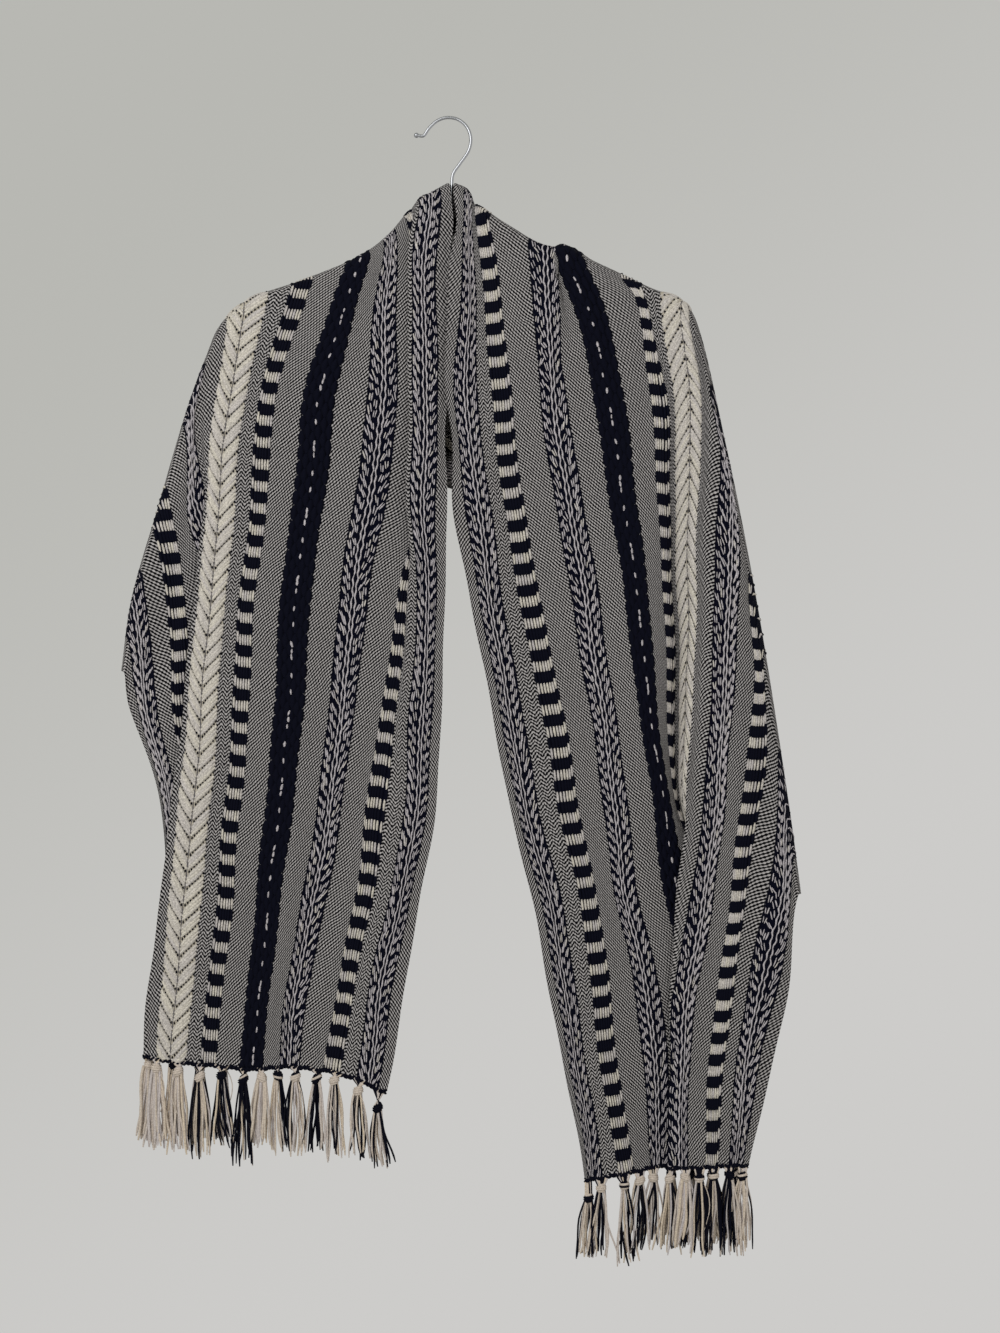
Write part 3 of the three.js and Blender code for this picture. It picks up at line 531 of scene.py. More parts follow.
def settled(name, points, across, along, raised, first, last=None):
    """A stretch with its creases, and its small unevenness, added to the form of its solid."""
    from_ridge = np.abs(along - along[0])
    if last is not None:
        from_ridge = np.minimum(from_ridge, np.abs(along - along[-1]))
    clear = eased(from_ridge, 0, NEAR_RIDGE)
    ridges = [(0, "right" if name == "cloth_right" else "left")]
    if last is not None:
        ridges.append((-1, "right"))
    for end, side in ridges:
        hump = np.interp(across, list(HUMPS[side]), list(HUMPS[side].values()))
        points[..., 2] += hump * (1 - eased(np.abs(along - along[end]), 0, HUMP_REACH))
    for (u, v), push, wide, tall in SLIDES[name]:
        points[..., 0] += push * np.exp(-(((across - u) / wide) ** 2) - ((along - v) / tall) ** 2)
    for far, tall, wide in WOBBLE:
        points[..., 0] += clear * far * np.sin(along / tall + across / wide)
    if last is None:
        knots = 0.5 - 0.5 * np.cos(2 * math.pi * across / GATHER["spacing"])
        points[..., 2] -= GATHER["dip"] * knots * np.exp(-along / GATHER["reach"])
    smooth_cloth = Stretch(name, points, across, along, raised, first, last)
    depth = np.zeros(across.shape)
    for (u0, v0), (u1, v1), height, width in CREASES[name]:
        du, dv = u1 - u0, v1 - v0
        length = math.hypot(du, dv)
        share = ((across - u0) * du + (along - v0) * dv) / length**2
        off = ((across - u0) * dv - (along - v0) * du) / length
        depth += height * np.sin(math.pi * np.clip(share, 0, 1)) * np.exp(-((off / width) ** 2))
    creased = points + smooth_cloth.normals * (depth * clear)[..., None]
    if name != "cloth_left":
        across = tucked(across, np.abs(along - along[0 if last is None else -1]))
    return Stretch(name, creased, across, along, raised, first, last)


# ---- Meshes ---------------------------------------------------------------------------------
def new_object(name, data):
    made = bpy.data.objects.new(name, data)
    bpy.context.scene.collection.objects.link(made)
    return made


def grid_faces(grid):
    """The faces between the points of a grid of their numbers."""
    corners = [grid[:-1, :-1], grid[:-1, 1:], grid[1:, 1:], grid[1:, :-1]]
    return np.stack(corners, axis=-1).reshape(-1, 4)


def rim_faces(edge):
    """The faces that join an edge of one side of the cloth to the same edge of the other side."""
    return np.stack([edge[0][:-1], edge[0][1:], edge[1][1:], edge[1][:-1]], axis=-1)


def faced_outwards(verts, quads):
    """The faces of a closed shell, turned round if they point inwards."""
    a, b, c, d = (verts[quads[:, corner]] for corner in range(4))
    volume = np.einsum("ij,ij->", np.cross(a, b), c) + np.einsum("ij,ij->", np.cross(a, c), d)
    return quads if volume > 0 else quads[:, ::-1]


def shell_object(stretch, material):
    """The ground of a stretch of cloth, as a thin closed shell with the weave's coordinates as its UV map."""
    rows, columns = stretch.across.shape
    faces = [stretch.points + stretch.normals * side * SHELL / 2 for side in (1, -1)]
    verts = np.concatenate([face.reshape(-1, 3) for face in faces]) * MM
    number = np.arange(2 * rows * columns).reshape(2, rows, columns)
    edges = [number[:, 0, ::-1], number[:, -1, :], number[:, :, 0], number[:, ::-1, -1]]
    sides = [grid_faces(number[0])[:, ::-1], grid_faces(number[1])]
    quads = faced_outwards(verts, np.concatenate([*sides, *(rim_faces(edge) for edge in edges)]))
    mesh = bpy.data.meshes.new(stretch.name)
    mesh.from_pydata(verts.tolist(), [], quads.tolist())
    weave = np.tile(np.stack([stretch.across, stretch.along], axis=-1).reshape(-1, 2) * MM, (2, 1))
    layer = mesh.uv_layers.new(name="weave")
    spread = weave[quads]
    wrong_side = (quads >= rows * columns).all(axis=1)
    spread[wrong_side, :, 0] += WRONG_SIDE
    layer.data.foreach_set("uv", spread.astype(np.float32).reshape(-1))
    mesh.shade_smooth()
    mesh.materials.append(material)
    return new_object(stretch.name, mesh)


# ---- Materials ------------------------------------------------------------------------------
def linear(red, green, blue):
    """A colour given in the screen's 0 to 255 values."""
    return [((value / 255 + 0.055) / 1.055) ** 2.4 for value in (red, green, blue)] + [1]


CREAM = linear(233, 226, 212)  # of blocks and leaves
PALE_YARN = linear(210, 204, 208)  # of the twists and the band's beads
NAVY = linear(6, 8, 24)
DARK_YARN = linear(22, 21, 26)
LEAF_GROUND = linear(196, 188, 172)
FRINGE_CREAM = linear(230, 213, 190)
PALE_WARP = linear(194, 190, 189)  # of the twill
DARK_WEFT = linear(8, 8, 12)
CHROME = linear(176, 178, 182)
HANGER_WHITE = linear(222, 221, 216)

# The twill's ribs and the picks that break them: their spacing and slant, how deep a break is, from where
# to where a rib turns pale, and how high the picks stand.
TWILL = {
    "pitch": 2.9, "rise": 0.85, "pick": 2.3, "pick_slant": -0.28, "broken": 0.55, "edge": (0.68, 1.1),
    "pick_height": 0.35,
}
# How far the twill's ribs slant towards the inner side as they rise, or away from it. 0 is a zigzag.
TWILL_ZONES = [(0, 32, -0.85), (32, 63, 0), (63, 191, 1), (191, 218, 0), (218, 363, -0.72)]
ZIGZAG = 3.7  # half the width of a zigzag
SLACK = {"scale": 55, "detail": 3, "range": (0.25, 0.75), "shift": 0.9}  # how unevenly the ribs run
GROUND_FUZZ = {"Scale": 700.0, "Low": 0.35, "High": 0.7, "Most": 0.35}
YARN_FUZZ = {"Scale": 850.0, "Low": 0.3, "High": 0.65}
FUZZ_HEIGHT = 0.4  # of the ground's fuzz, against its ribs
GROUND_FINISH = {"Roughness": 0.95, "Specular IOR Level": 0.08, "strength": 0.8, "relief": 0.5}
YARN_FINISH = {"Roughness": 0.92, "Specular IOR Level": 0.1, "strength": 0.6, "relief": 0.35}
YARN_TONES = [(0.2, DARK_YARN), (0.7, PALE_YARN), (0.86, PALE_YARN)]  # between navy at 0 and cream at 1
WEAR = {"scale": 60, "range": (0.3, 0.7), "roughness": (0.8, 1.3)}  # of smooth, hard finishes


class Sums:
    """Writes sums as the nodes of a shader tree."""

    def __init__(self, tree):
        self.tree = tree

    def node(self, kind, **settings):
        made = self.tree.nodes.new(kind)
        for setting, value in settings.items():
            setattr(made, setting, value)
        return made

    def put(self, socket, value):
        if isinstance(value, bpy.types.NodeSocket):
            self.tree.links.new(value, socket)
        else:
            socket.default_value = value

    def math(self, operation, *values):
        made = self.node("ShaderNodeMath", operation=operation)
        for socket, value in zip(made.inputs, values):
            self.put(socket, value)
        return made.outputs[0]

    def ramp(self, value, low, high, start=0.0, end=1.0):
        """A value eased from start to end as it goes from low to high."""
        made = self.node("ShaderNodeMapRange", interpolation_type="SMOOTHSTEP")
        for socket, given in zip(made.inputs, (value, low, high, start, end)):
            self.put(socket, given)
        return made.outputs[0]

    def mix(self, factor, first, second):
        made = self.node("ShaderNodeMix", data_type="RGBA")
        for socket, given in zip((made.inputs[0], made.inputs[6], made.inputs[7]), (factor, first, second)):
            self.put(socket, given)
        return made.outputs[2]

    def wave(self, value, period, shift=0.0):
        """A wave from 0 to 1 that repeats at the period."""
        turns = self.math("MULTIPLY", self.math("ADD", value, shift), 2 * math.pi / period)
        return self.math("MULTIPLY_ADD", self.math("SINE", turns), 0.5, 0.5)

    def between(self, value, low, high, edge):
        """1 between two values and 0 outside them, with soft edges."""
        return self.math(
            "MULTIPLY",
            self.ramp(value, low - edge, low + edge),
            self.ramp(value, high - edge, high + edge, 1.0, 0.0),
        )

    def noise(self, places, scale, detail=2.0):
        made = self.node("ShaderNodeTexNoise")
        for socket, given in (("Vector", places), ("Scale", scale), ("Detail", detail)):
            self.put(made.inputs[socket], given)
        return made.outputs["Fac"]

    def group(self, tree, **values):
        made = self.node("ShaderNodeGroup", node_tree=tree)
        for name, value in values.items():
            self.put(made.inputs[name], value)
        return made.outputs


def shader_group(name, inputs, outputs):
    """An empty node group with named inputs and outputs, given as the kinds of their sockets."""
    tree = bpy.data.node_groups.new(name, "ShaderNodeTree")
    for side, sockets in (("INPUT", inputs), ("OUTPUT", outputs)):
        for socket, kind in sockets.items():
            tree.interface.new_socket(socket, in_out=side, socket_type="NodeSocket" + kind)
    sums = Sums(tree)
    return sums, sums.node("NodeGroupInput").outputs, sums.node("NodeGroupOutput").inputs


def twill_group():
    """Slanting ribs of pale warp over dark weft, broken by the picks that cross them."""
    sums, given, out = shader_group(
        "twill",
        {"Across": "Float", "Along": "Float", "Uneven": "Float"},
        {"Pale": "Float", "Height": "Float"},
    )
    across = given["Across"]
    carried = 0.0
    for low, high, lean in TWILL_ZONES:
        past = sums.math("GREATER_THAN", across, low)
        inside = sums.math("MULTIPLY", past, sums.math("LESS_THAN", across, high))
        way = sums.math("MULTIPLY", across, float(lean)) if lean else sums.math("PINGPONG", across, ZIGZAG)
        carried = sums.math("MULTIPLY_ADD", inside, way, carried)
    slant = sums.math("MULTIPLY_ADD", given["Along"], TWILL["rise"], carried)
    slant = sums.math("ADD", slant, given["Uneven"])
    rib = sums.wave(slant, TWILL["pitch"])
    pick = sums.wave(sums.math("MULTIPLY_ADD", given["Along"], TWILL["pick_slant"], carried), TWILL["pick"])
    broken = sums.math("MULTIPLY_ADD", pick, TWILL["broken"], rib)
    sums.put(out["Pale"], sums.ramp(broken, *TWILL["edge"]))
    sums.put(out["Height"], sums.math("MULTIPLY_ADD", pick, TWILL["pick_height"], rib))
    return sums.tree


def fuzz_group():
    """The loose fibres of spun cotton: how high they stand, and how much they dim the colour."""
    sums, given, out = shader_group(
        "cotton_fuzz",
        {"Places": "Vector", "Scale": "Float", "Low": "Float", "High": "Float", "Most": "Float"},
        {"Height": "Float", "Dim": "Float"},
    )
    fuzz = sums.noise(given["Places"], given["Scale"])
    sums.put(out["Height"], fuzz)
    sums.put(out["Dim"], sums.ramp(fuzz, given["Low"], given["High"], 0.0, given["Most"]))
    return sums.tree


def new_material(name):
    """A material, the sums of its tree, and its shader."""
    material = bpy.data.materials.new(name)
    material.use_nodes = True
    return material, Sums(material.node_tree), material.node_tree.nodes["Principled BSDF"]


def cotton_finish(sums, shader, height, finish):
    """Gives a shader the dull, fuzzy surface of cotton."""
    bump = sums.node("ShaderNodeBump")
    sums.put(bump.inputs["Strength"], finish["strength"])
    sums.put(bump.inputs["Distance"], finish["relief"] * MM)
    sums.put(bump.inputs["Height"], height)
    sums.put(shader.inputs["Normal"], bump.outputs[0])
    for quality in ("Roughness", "Specular IOR Level"):
        sums.put(shader.inputs[quality], finish[quality])


# The backs of the floats on the wrong side: the widths of their yarns, how far they sway and slant, and
# the edges between which each turns pale.
BACKS = {
    "strand": 3.1, "sway": 0.8, "slant": 1.7, "dash": 0.5, "twist_edge": (0.7, 1.0),
    "bundle": 2.8, "bundle_edge": (0.05, 0.35), "block_start": -0.6, "block_edge": (0.42, 0.55),
    "seam_edge": (0.9, 0.98),
}


def stripe_colours(sums, wrong, across, along):
    """What shows in each stripe: plain ground under the floats, and the backs of the floats on the wrong
    side, where cream and navy change places."""
    sway = sums.math("MULTIPLY", sums.wave(along, TWIST_PERIOD), BACKS["sway"])
    strands = sums.wave(sums.math("ADD", across, sway), BACKS["strand"])
    dashes = sums.wave(sums.math("MULTIPLY_ADD", across, BACKS["slant"], along), TWIST_PERIOD / 2)
    twist = sums.ramp(sums.math("MULTIPLY_ADD", dashes, BACKS["dash"], strands), *BACKS["twist_edge"])
    bundles = sums.ramp(sums.wave(across, BACKS["bundle"]), *BACKS["bundle_edge"])
    start = BACKS["block_start"] * BLOCK["period"]
    blocks = sums.ramp(sums.wave(along, BLOCK["period"], start), *BACKS["block_edge"])
    spine = sums.math("ABSOLUTE", sums.math("SUBTRACT", across, sum(LEAVES) / 2))
    seams = sums.wave(sums.math("SUBTRACT", along, spine), LEAF["period"] / 2)
    seams = sums.ramp(seams, *BACKS["seam_edge"])
    pale = {
        "twist": (twist, NAVY, PALE_YARN, NAVY),
        "block": (sums.math("MULTIPLY", bundles, blocks), NAVY, CREAM, NAVY),
        "leaf": (seams, LEAF_GROUND, DARK_YARN, LEAF_GROUND),
    }
    colours = {"band": NAVY}
    for kind, (amount, base, raised, right_side) in pale.items():
        colours[kind] = sums.mix(wrong, right_side, sums.mix(amount, base, raised))
    return colours


UNDER_INSETS = {"twist": 0.0, "block": 0.5, "band": 1.5, "leaf": 0.6}  # of a stripe's ground from its edges
UNDER_EDGE = 0.5  # how softly a stripe's ground ends


def ground_material(twill, fuzz_tree):
    """The cloth between and under its floating yarns. Its places come from the weave's own coordinates."""
    material, sums, shader = new_material("striped_ground")
    weave = sums.node("ShaderNodeUVMap", uv_map="weave")
    parts = sums.node("ShaderNodeSeparateXYZ")
    sums.put(parts.inputs[0], weave.outputs[0])
    wrong = sums.math("GREATER_THAN", parts.outputs[0], WRONG_SIDE / 2)
    across = sums.math("MULTIPLY", sums.math("MULTIPLY_ADD", wrong, -WRONG_SIDE, parts.outputs[0]), 1 / MM)
    along = sums.math("MULTIPLY", parts.outputs[1], 1 / MM)
    slack = sums.noise(weave.outputs[0], SLACK["scale"], SLACK["detail"])
    uneven = sums.ramp(slack, *SLACK["range"], -SLACK["shift"], SLACK["shift"])
    ribs = sums.group(twill, Across=across, Along=along, Uneven=uneven)
    fuzz = sums.group(fuzz_tree, Places=weave.outputs[0], **GROUND_FUZZ)
    warp = sums.mix(fuzz["Dim"], PALE_WARP, DARK_WEFT)
    colour = sums.mix(ribs["Pale"], DARK_WEFT, warp)
    under = stripe_colours(sums, wrong, across, along)
    for kind, stripes in (("twist", TWISTS), ("block", BLOCKS), ("band", [BAND]), ("leaf", [LEAVES])):
        inset = UNDER_INSETS[kind]
        for low, high in stripes:
            covered = sums.between(across, low + inset, high - inset, UNDER_EDGE)
            colour = sums.mix(covered, colour, under[kind])
    sums.put(shader.inputs["Base Color"], colour)
    height = sums.math("MULTIPLY_ADD", fuzz["Height"], FUZZ_HEIGHT, ribs["Height"])
    cotton_finish(sums, shader, height, GROUND_FINISH)
    return material


def yarn_material(name, fuzz_tree, cream, uneven):
    """Spun cotton. Its tone goes from navy through dark and pale yarn to cream."""
    material, sums, shader = new_material(name)
    tone = sums.node("ShaderNodeAttribute", attribute_name="tone").outputs["Fac"]
    places = sums.node("ShaderNodeTexCoord").outputs["Object"]
    fuzz = sums.group(fuzz_tree, Places=places, Most=uneven, **YARN_FUZZ)
    shade = sums.node("ShaderNodeValToRGB")
    stops = shade.color_ramp.elements
    stops[0].position, stops[0].color = 0.0, NAVY
    stops[1].position, stops[1].color = 1.0, cream
    for position, colour in YARN_TONES:
        stops.new(position).color = colour
    sums.put(shade.inputs[0], tone)
    sums.put(shader.inputs["Base Color"], sums.mix(fuzz["Dim"], shade.outputs[0], NAVY))
    cotton_finish(sums, shader, fuzz["Height"], YARN_FINISH)
    return material


def smooth_material(name, colour, roughness, metallic=0.0):
    """A hard finish, a little rougher in some places than in others."""
    material, sums, shader = new_material(name)
    places = sums.node("ShaderNodeTexCoord").outputs["Object"]
    least, most = (roughness * share for share in WEAR["roughness"])
    worn = sums.ramp(sums.noise(places, WEAR["scale"]), *WEAR["range"], least, most)
    sums.put(shader.inputs["Base Color"], colour)
    sums.put(shader.inputs["Roughness"], worn)
    sums.put(shader.inputs["Metallic"], metallic)
    return material


# ---- Yarns laid on paths --------------------------------------------------------------------
YARN_INPUTS = {"Paths": "Geometry", "Sides": "Int", "Flatness": "Float", "Material": "Material"}
FLAT_AXIS = 0  # the ring's axis that lies along the way a yarn faces


def yarn_tree():
    """Geometry nodes that turn paths into yarns. A path's points carry its half width as "half", the way
    that its flat side faces as "facing", and its tone."""
    tree = bpy.data.node_groups.new("lay_yarns", "GeometryNodeTree")
    for name, kind in YARN_INPUTS.items():
        tree.interface.new_socket(name, in_out="INPUT", socket_type="NodeSocket" + kind)
    tree.interface.new_socket("Yarns", in_out="OUTPUT", socket_type="NodeSocketGeometry")
    add = tree.nodes.new
    link = tree.links.new
    given, out = add("NodeGroupInput"), add("NodeGroupOutput")

    def attribute(name, kind):
        node = add("GeometryNodeInputNamedAttribute")
        node.data_type = kind
        node.inputs["Name"].default_value = name
        return node.outputs["Attribute"]

    curves = add("GeometryNodeMeshToCurve")
    link(given.outputs["Paths"], curves.inputs["Mesh"])
    facing = add("GeometryNodeSetCurveNormal")
    facing.mode = "FREE"
    link(curves.outputs[0], facing.inputs["Curve"])
    link(attribute("facing", "FLOAT_VECTOR"), facing.inputs["Normal"])
    ring = add("GeometryNodeCurvePrimitiveCircle")
    ring.inputs["Radius"].default_value = 1
    link(given.outputs["Sides"], ring.inputs["Resolution"])
    scale = add("ShaderNodeCombineXYZ")
    link(given.outputs["Flatness"], scale.inputs[FLAT_AXIS])
    scale.inputs[1 - FLAT_AXIS].default_value = 1
    scale.inputs[2].default_value = 1
    flat = add("GeometryNodeTransform")
    link(ring.outputs["Curve"], flat.inputs["Geometry"])
    link(scale.outputs[0], flat.inputs["Scale"])
    yarn = add("GeometryNodeCurveToMesh")
    yarn.inputs["Fill Caps"].default_value = True
    link(facing.outputs[0], yarn.inputs["Curve"])
    link(flat.outputs[0], yarn.inputs["Profile Curve"])
    link(attribute("half", "FLOAT"), yarn.inputs["Scale"])
    soft = add("GeometryNodeSetShadeSmooth")
    link(yarn.outputs[0], soft.inputs["Geometry"])
    real = add("GeometryNodeRealizeInstances")
    link(soft.outputs[0], real.inputs[0])
    dyed = add("GeometryNodeSetMaterial")
    link(real.outputs[0], dyed.inputs["Geometry"])
    link(given.outputs["Material"], dyed.inputs["Material"])
    link(dyed.outputs[0], out.inputs[0])
    return tree


YARN_TREE = yarn_tree()


def lay_yarns(name, yarns, material, sides=5, flatness=0.5):
    """One mesh of yarns. Each entry of yarns holds arrays of points, half widths, facings and tones."""
    points, halves, facings, tones, edges = [], [], [], [], []
    count = 0
    for paths, half, facing, tone in yarns:
        number, steps = paths.shape[:2]
        first = count + np.arange(number)[:, None] * steps + np.arange(steps - 1)
        edges.append(np.stack([first, first + 1], axis=-1).reshape(-1, 2))
        count += number * steps
        points.append(paths.reshape(-1, 3))
        halves.append(np.broadcast_to(half, (number, steps)).reshape(-1))
        facings.append(np.broadcast_to(facing, paths.shape).reshape(-1, 3))
        tones.append(np.broadcast_to(tone, (number, steps)).reshape(-1))
    mesh = bpy.data.meshes.new(name)
    mesh.from_pydata((np.concatenate(points) * MM).tolist(), np.concatenate(edges).tolist(), [])
    for attribute, kind, values, key in (
        ("half", "FLOAT", np.concatenate(halves) * MM, "value"),
        ("facing", "FLOAT_VECTOR", np.concatenate(facings), "vector"),
        ("tone", "FLOAT", np.concatenate(tones), "value"),
    ):
        layer = mesh.attributes.new(attribute, kind, "POINT")
        layer.data.foreach_set(key, values.astype(np.float32).reshape(-1))
    made = new_object(name, mesh)
    modifier = made.modifiers.new("lay", "NODES")
    modifier.node_group = YARN_TREE
    items = YARN_TREE.interface.items_tree
    sockets = {item.name: item.identifier for item in items if item.in_out == "INPUT"}
    modifier[sockets["Sides"]] = sides
    modifier[sockets["Flatness"]] = flatness
    modifier[sockets["Material"]] = material
    evaluated = made.evaluated_get(bpy.context.evaluated_depsgraph_get())
    final = bpy.data.meshes.new_from_object(evaluated)
    made.modifiers.clear()
    made.data = final
    return made


# ---- Floating yarns -------------------------------------------------------------------------
SEAM_MARGIN = 0.3  # yarns stop this far from the ends of their stretch
SHORTEST_FLOAT = 2.0
FLOAT_LIFT = 0.55  # how far a float's middle stands off the ground
FLOAT_SUNK = 0.25  # how far its ends sink into the ground
FLOAT_PAST = 0.35  # how far its bulge reaches past its ends, in steps
FLOAT_TIP = 0.3  # the width of its ends, as a share of its middle's
FLOAT_TAPER = 0.7
LONG_YARN = {
    "step": 2.5, "lift": 0.35, "dip": 0.3, "sunk": 0.2,
    "second_wave": (0.7, 0.37),  # its height and its turns, against those of the first
    "swell": 0.28, "swell_shift": 1.3,
}


def floats(stretch, across, along, half, tone, lift=FLOAT_LIFT):
    """Short yarns on a stretch. across and along give each one's points, and those past an end are cut."""
    low, high = (end[:, None] for end in stretch.reach(across.mean(axis=1)))
    cut = np.clip(along, low + SEAM_MARGIN, high - SEAM_MARGIN)
    kept = np.ptp(cut, axis=1) > SHORTEST_FLOAT
    across, cut = across[kept], cut[kept]
    points, normals = stretch.place(across, cut)
    steps = across.shape[1]
    bulge = np.sin(np.pi * (np.arange(steps) + FLOAT_PAST) / (steps - 1 + 2 * FLOAT_PAST))
    points = points + normals * (SHELL / 2 - FLOAT_SUNK + lift * bulge)[None, :, None]
    taper = FLOAT_TIP + (1 - FLOAT_TIP) * bulge**FLOAT_TAPER
    half = np.broadcast_to(half, kept.shape)[kept][:, None] * taper
    half = half * stretch.width_at(across[:, :1], cut.mean(axis=1, keepdims=True))
    tone = np.broadcast_to(tone, kept.shape)[kept][:, None]
    return points, half, normals, tone


def starts(stretch, period, shift=0.0):
    """Where each repeat of a pattern starts along a stretch."""
    low, high = stretch.along.min(), stretch.along.max()
    first = math.floor((low - shift) / period) - 1
    return np.arange(first, math.ceil((high - shift) / period) + 1) * period + shift


def straight_floats(stretch, across, start, length, half, tone, lean=0.0, steps=4, lift=FLOAT_LIFT):
    """Floats that run along the cloth from each start, and lean across it by the given width."""
    share = even_steps(steps)
    along = start[:, None] + share * np.reshape(length, (-1, 1))
    leaning = np.reshape(lean, (-1, 1)) * (share - 0.5)
    return floats(stretch, across + leaning + np.zeros(along.shape), along, half, tone, lift)


def long_yarn(stretch, across, sway, half, tone, lift=LONG_YARN["lift"]):
    """One yarn that runs the length of a stretch in a soft wave."""
    low, high = stretch.reach(np.array([float(across)]))
    along = np.arange(low[0] + SEAM_MARGIN, high[0] - SEAM_MARGIN, LONG_YARN["step"])
    turn = 2 * math.pi * along / TWIST_PERIOD + across
    height, turns = LONG_YARN["second_wave"]
    drift = np.sin(turn) + height * np.sin(turns * turn + across)
    points, normals = stretch.place(across + sway * drift, along)
    raised = lift * (1 - LONG_YARN["dip"] + LONG_YARN["dip"] * np.cos(turn))
    points = points + normals * (SHELL / 2 - LONG_YARN["sunk"] + raised)[:, None]
    swell = 1 + LONG_YARN["swell"] * np.cos(turn + LONG_YARN["swell_shift"] + across)
    halves = half * swell * stretch.width_at(across + 0 * along, along)
    return points[None], halves[None], normals[None], np.full((1, len(along)), tone)


# The parts of a twist stripe, by their distance from its inner edge. Chains are rows of short floats.
TWIST_CHAINS = [
    {"at": 19.2, "half": 0.64, "float": 8.4, "period": 10.4, "shift": 0.0, "lean": 1.5},
    {"at": 16.0, "half": 0.6, "float": 8.2, "period": 10.4, "shift": 5.2, "lean": 1.0},
    {"at": 5.6, "half": 0.6, "float": 7.6, "period": 9.8, "shift": 1.0, "lean": -1.2},
    {"at": 2.4, "half": 0.56, "float": 7.0, "period": 9.8, "shift": 5.9, "lean": -1.0},
]
PAIR = 0.78  # how far each yarn of a float's pair lies from the float's middle
# How uneven the floats are: normal spreads, and the least and most where there are two values. "splay" is
# how far the yarns of a pair lean apart, on average, and its spread.
TWIST_UNEVEN = {
    "place": 0.35, "lean": 0.9, "start": 0.8, "float": (0.7, 1.05), "half": (0.7, 1.25), "tone": (0.6, 0.95),
    "splay": (0.3, 0.3),
}
TWIST_LINES = [
    {"at": 0.2, "half": 0.5, "tone": 0.03, "sway": 0.3},
    {"at": 9.2, "half": 0.68, "tone": 0.86, "sway": 0.45},
    {"at": 10.6, "half": 0.5, "tone": 0.03, "sway": 0.45},
    {"at": 12.0, "half": 0.64, "tone": 0.82, "sway": 0.5},
    {"at": 13.5, "half": 0.5, "tone": 0.03, "sway": 0.4},
    {"at": 21.8, "half": 0.5, "tone": 0.03, "sway": 0.3},
]


def twist_yarns(stretch, stripe, random):
    """Long yarns, and chains of short floats in pairs on both sides of them."""
    inner = stripe[0]
    uneven = TWIST_UNEVEN
    yarns = [
        long_yarn(stretch, inner + line["at"], line["sway"], line["half"], line["tone"])
        for line in TWIST_LINES
    ]
    for chain in TWIST_CHAINS:
        begin = starts(stretch, chain["period"], chain["shift"])
        count = len(begin)
        place = inner + chain["at"] + random.normal(0, uneven["place"], (count, 1))
        lean = chain["lean"] + random.normal(0, uneven["lean"], count)
        for way in (-1, 1):
            yarns.append(straight_floats(
                stretch,
                place + way * PAIR,
                begin + random.normal(0, uneven["start"], count),
                chain["float"] * random.uniform(*uneven["float"], count),
                chain["half"] * random.uniform(*uneven["half"], count),
                random.uniform(*uneven["tone"], count),
                lean + way * random.normal(*uneven["splay"], count),
            ))
    return yarns


# The widths of block floats are shares of the space between two of them.
BLOCK = {
    "period": 19.8, "bundle": 2.5, "outer_shift": 2.8, "lean": 0.2,
    "cream": {"length": 10.4, "half": 0.42, "tone": (0.9, 1), "lift": 0.7, "uneven": 0.3},
    "navy": {"overlap": 0.6, "half": 0.62, "tone": 0.02, "splay": 0.5},
}


def block_yarns(stretch, stripe, random):
    """Blocks of cream floats, with blocks of navy ones between them."""
    inner, outer = stripe
    cream, navy = BLOCK["cream"], BLOCK["navy"]
    bundles = round((outer - inner) / BLOCK["bundle"])
    spacing = (outer - inner) / bundles
    yarns = []
    for number in range(bundles):
        shift = BLOCK["outer_shift"] if number == bundles - 1 else 0
        begin = starts(stretch, BLOCK["period"], shift)
        place = inner + (number + 0.5) * spacing
        outwards = (number == bundles - 1) - (number == 0)
        uneven = random.normal(0, cream["uneven"], len(begin))
        yarns.append(straight_floats(
            stretch, place, begin + uneven, cream["length"], spacing * cream["half"],
            random.uniform(*cream["tone"], len(begin)), BLOCK["lean"], steps=5, lift=cream["lift"],
        ))
        yarns.append(straight_floats(
            stretch, place + outwards * navy["splay"], begin + cream["length"] - navy["overlap"],
            BLOCK["period"] - cream["length"] + 2 * navy["overlap"], spacing * navy["half"],
            navy["tone"], BLOCK["lean"],
        ))
    return yarns


# The widths of the band's floats are shares of the space between two columns of them.
BAND_REPEAT = {
    "columns": 6, "scallop": 13.5, "gap": 0.4, "tone": 0.02,
    "edge": {"half": 0.8, "lift": 0.35}, "middle": {"half": 0.9, "lift": 0.25},
}
# The beads' starts in each repeat of the band, and how uneven their places, starts and leans are.
BEADS = {
    "period": 61.0, "starts": [0.0, 5.6, 11.2, 29.5, 44.5], "length": 7.6, "half": (0.85, 1.25),
    "tone": (0.7, 0.85), "lift": 0.95, "place": 0.35, "start": 0.4, "lean": 0.8,
}


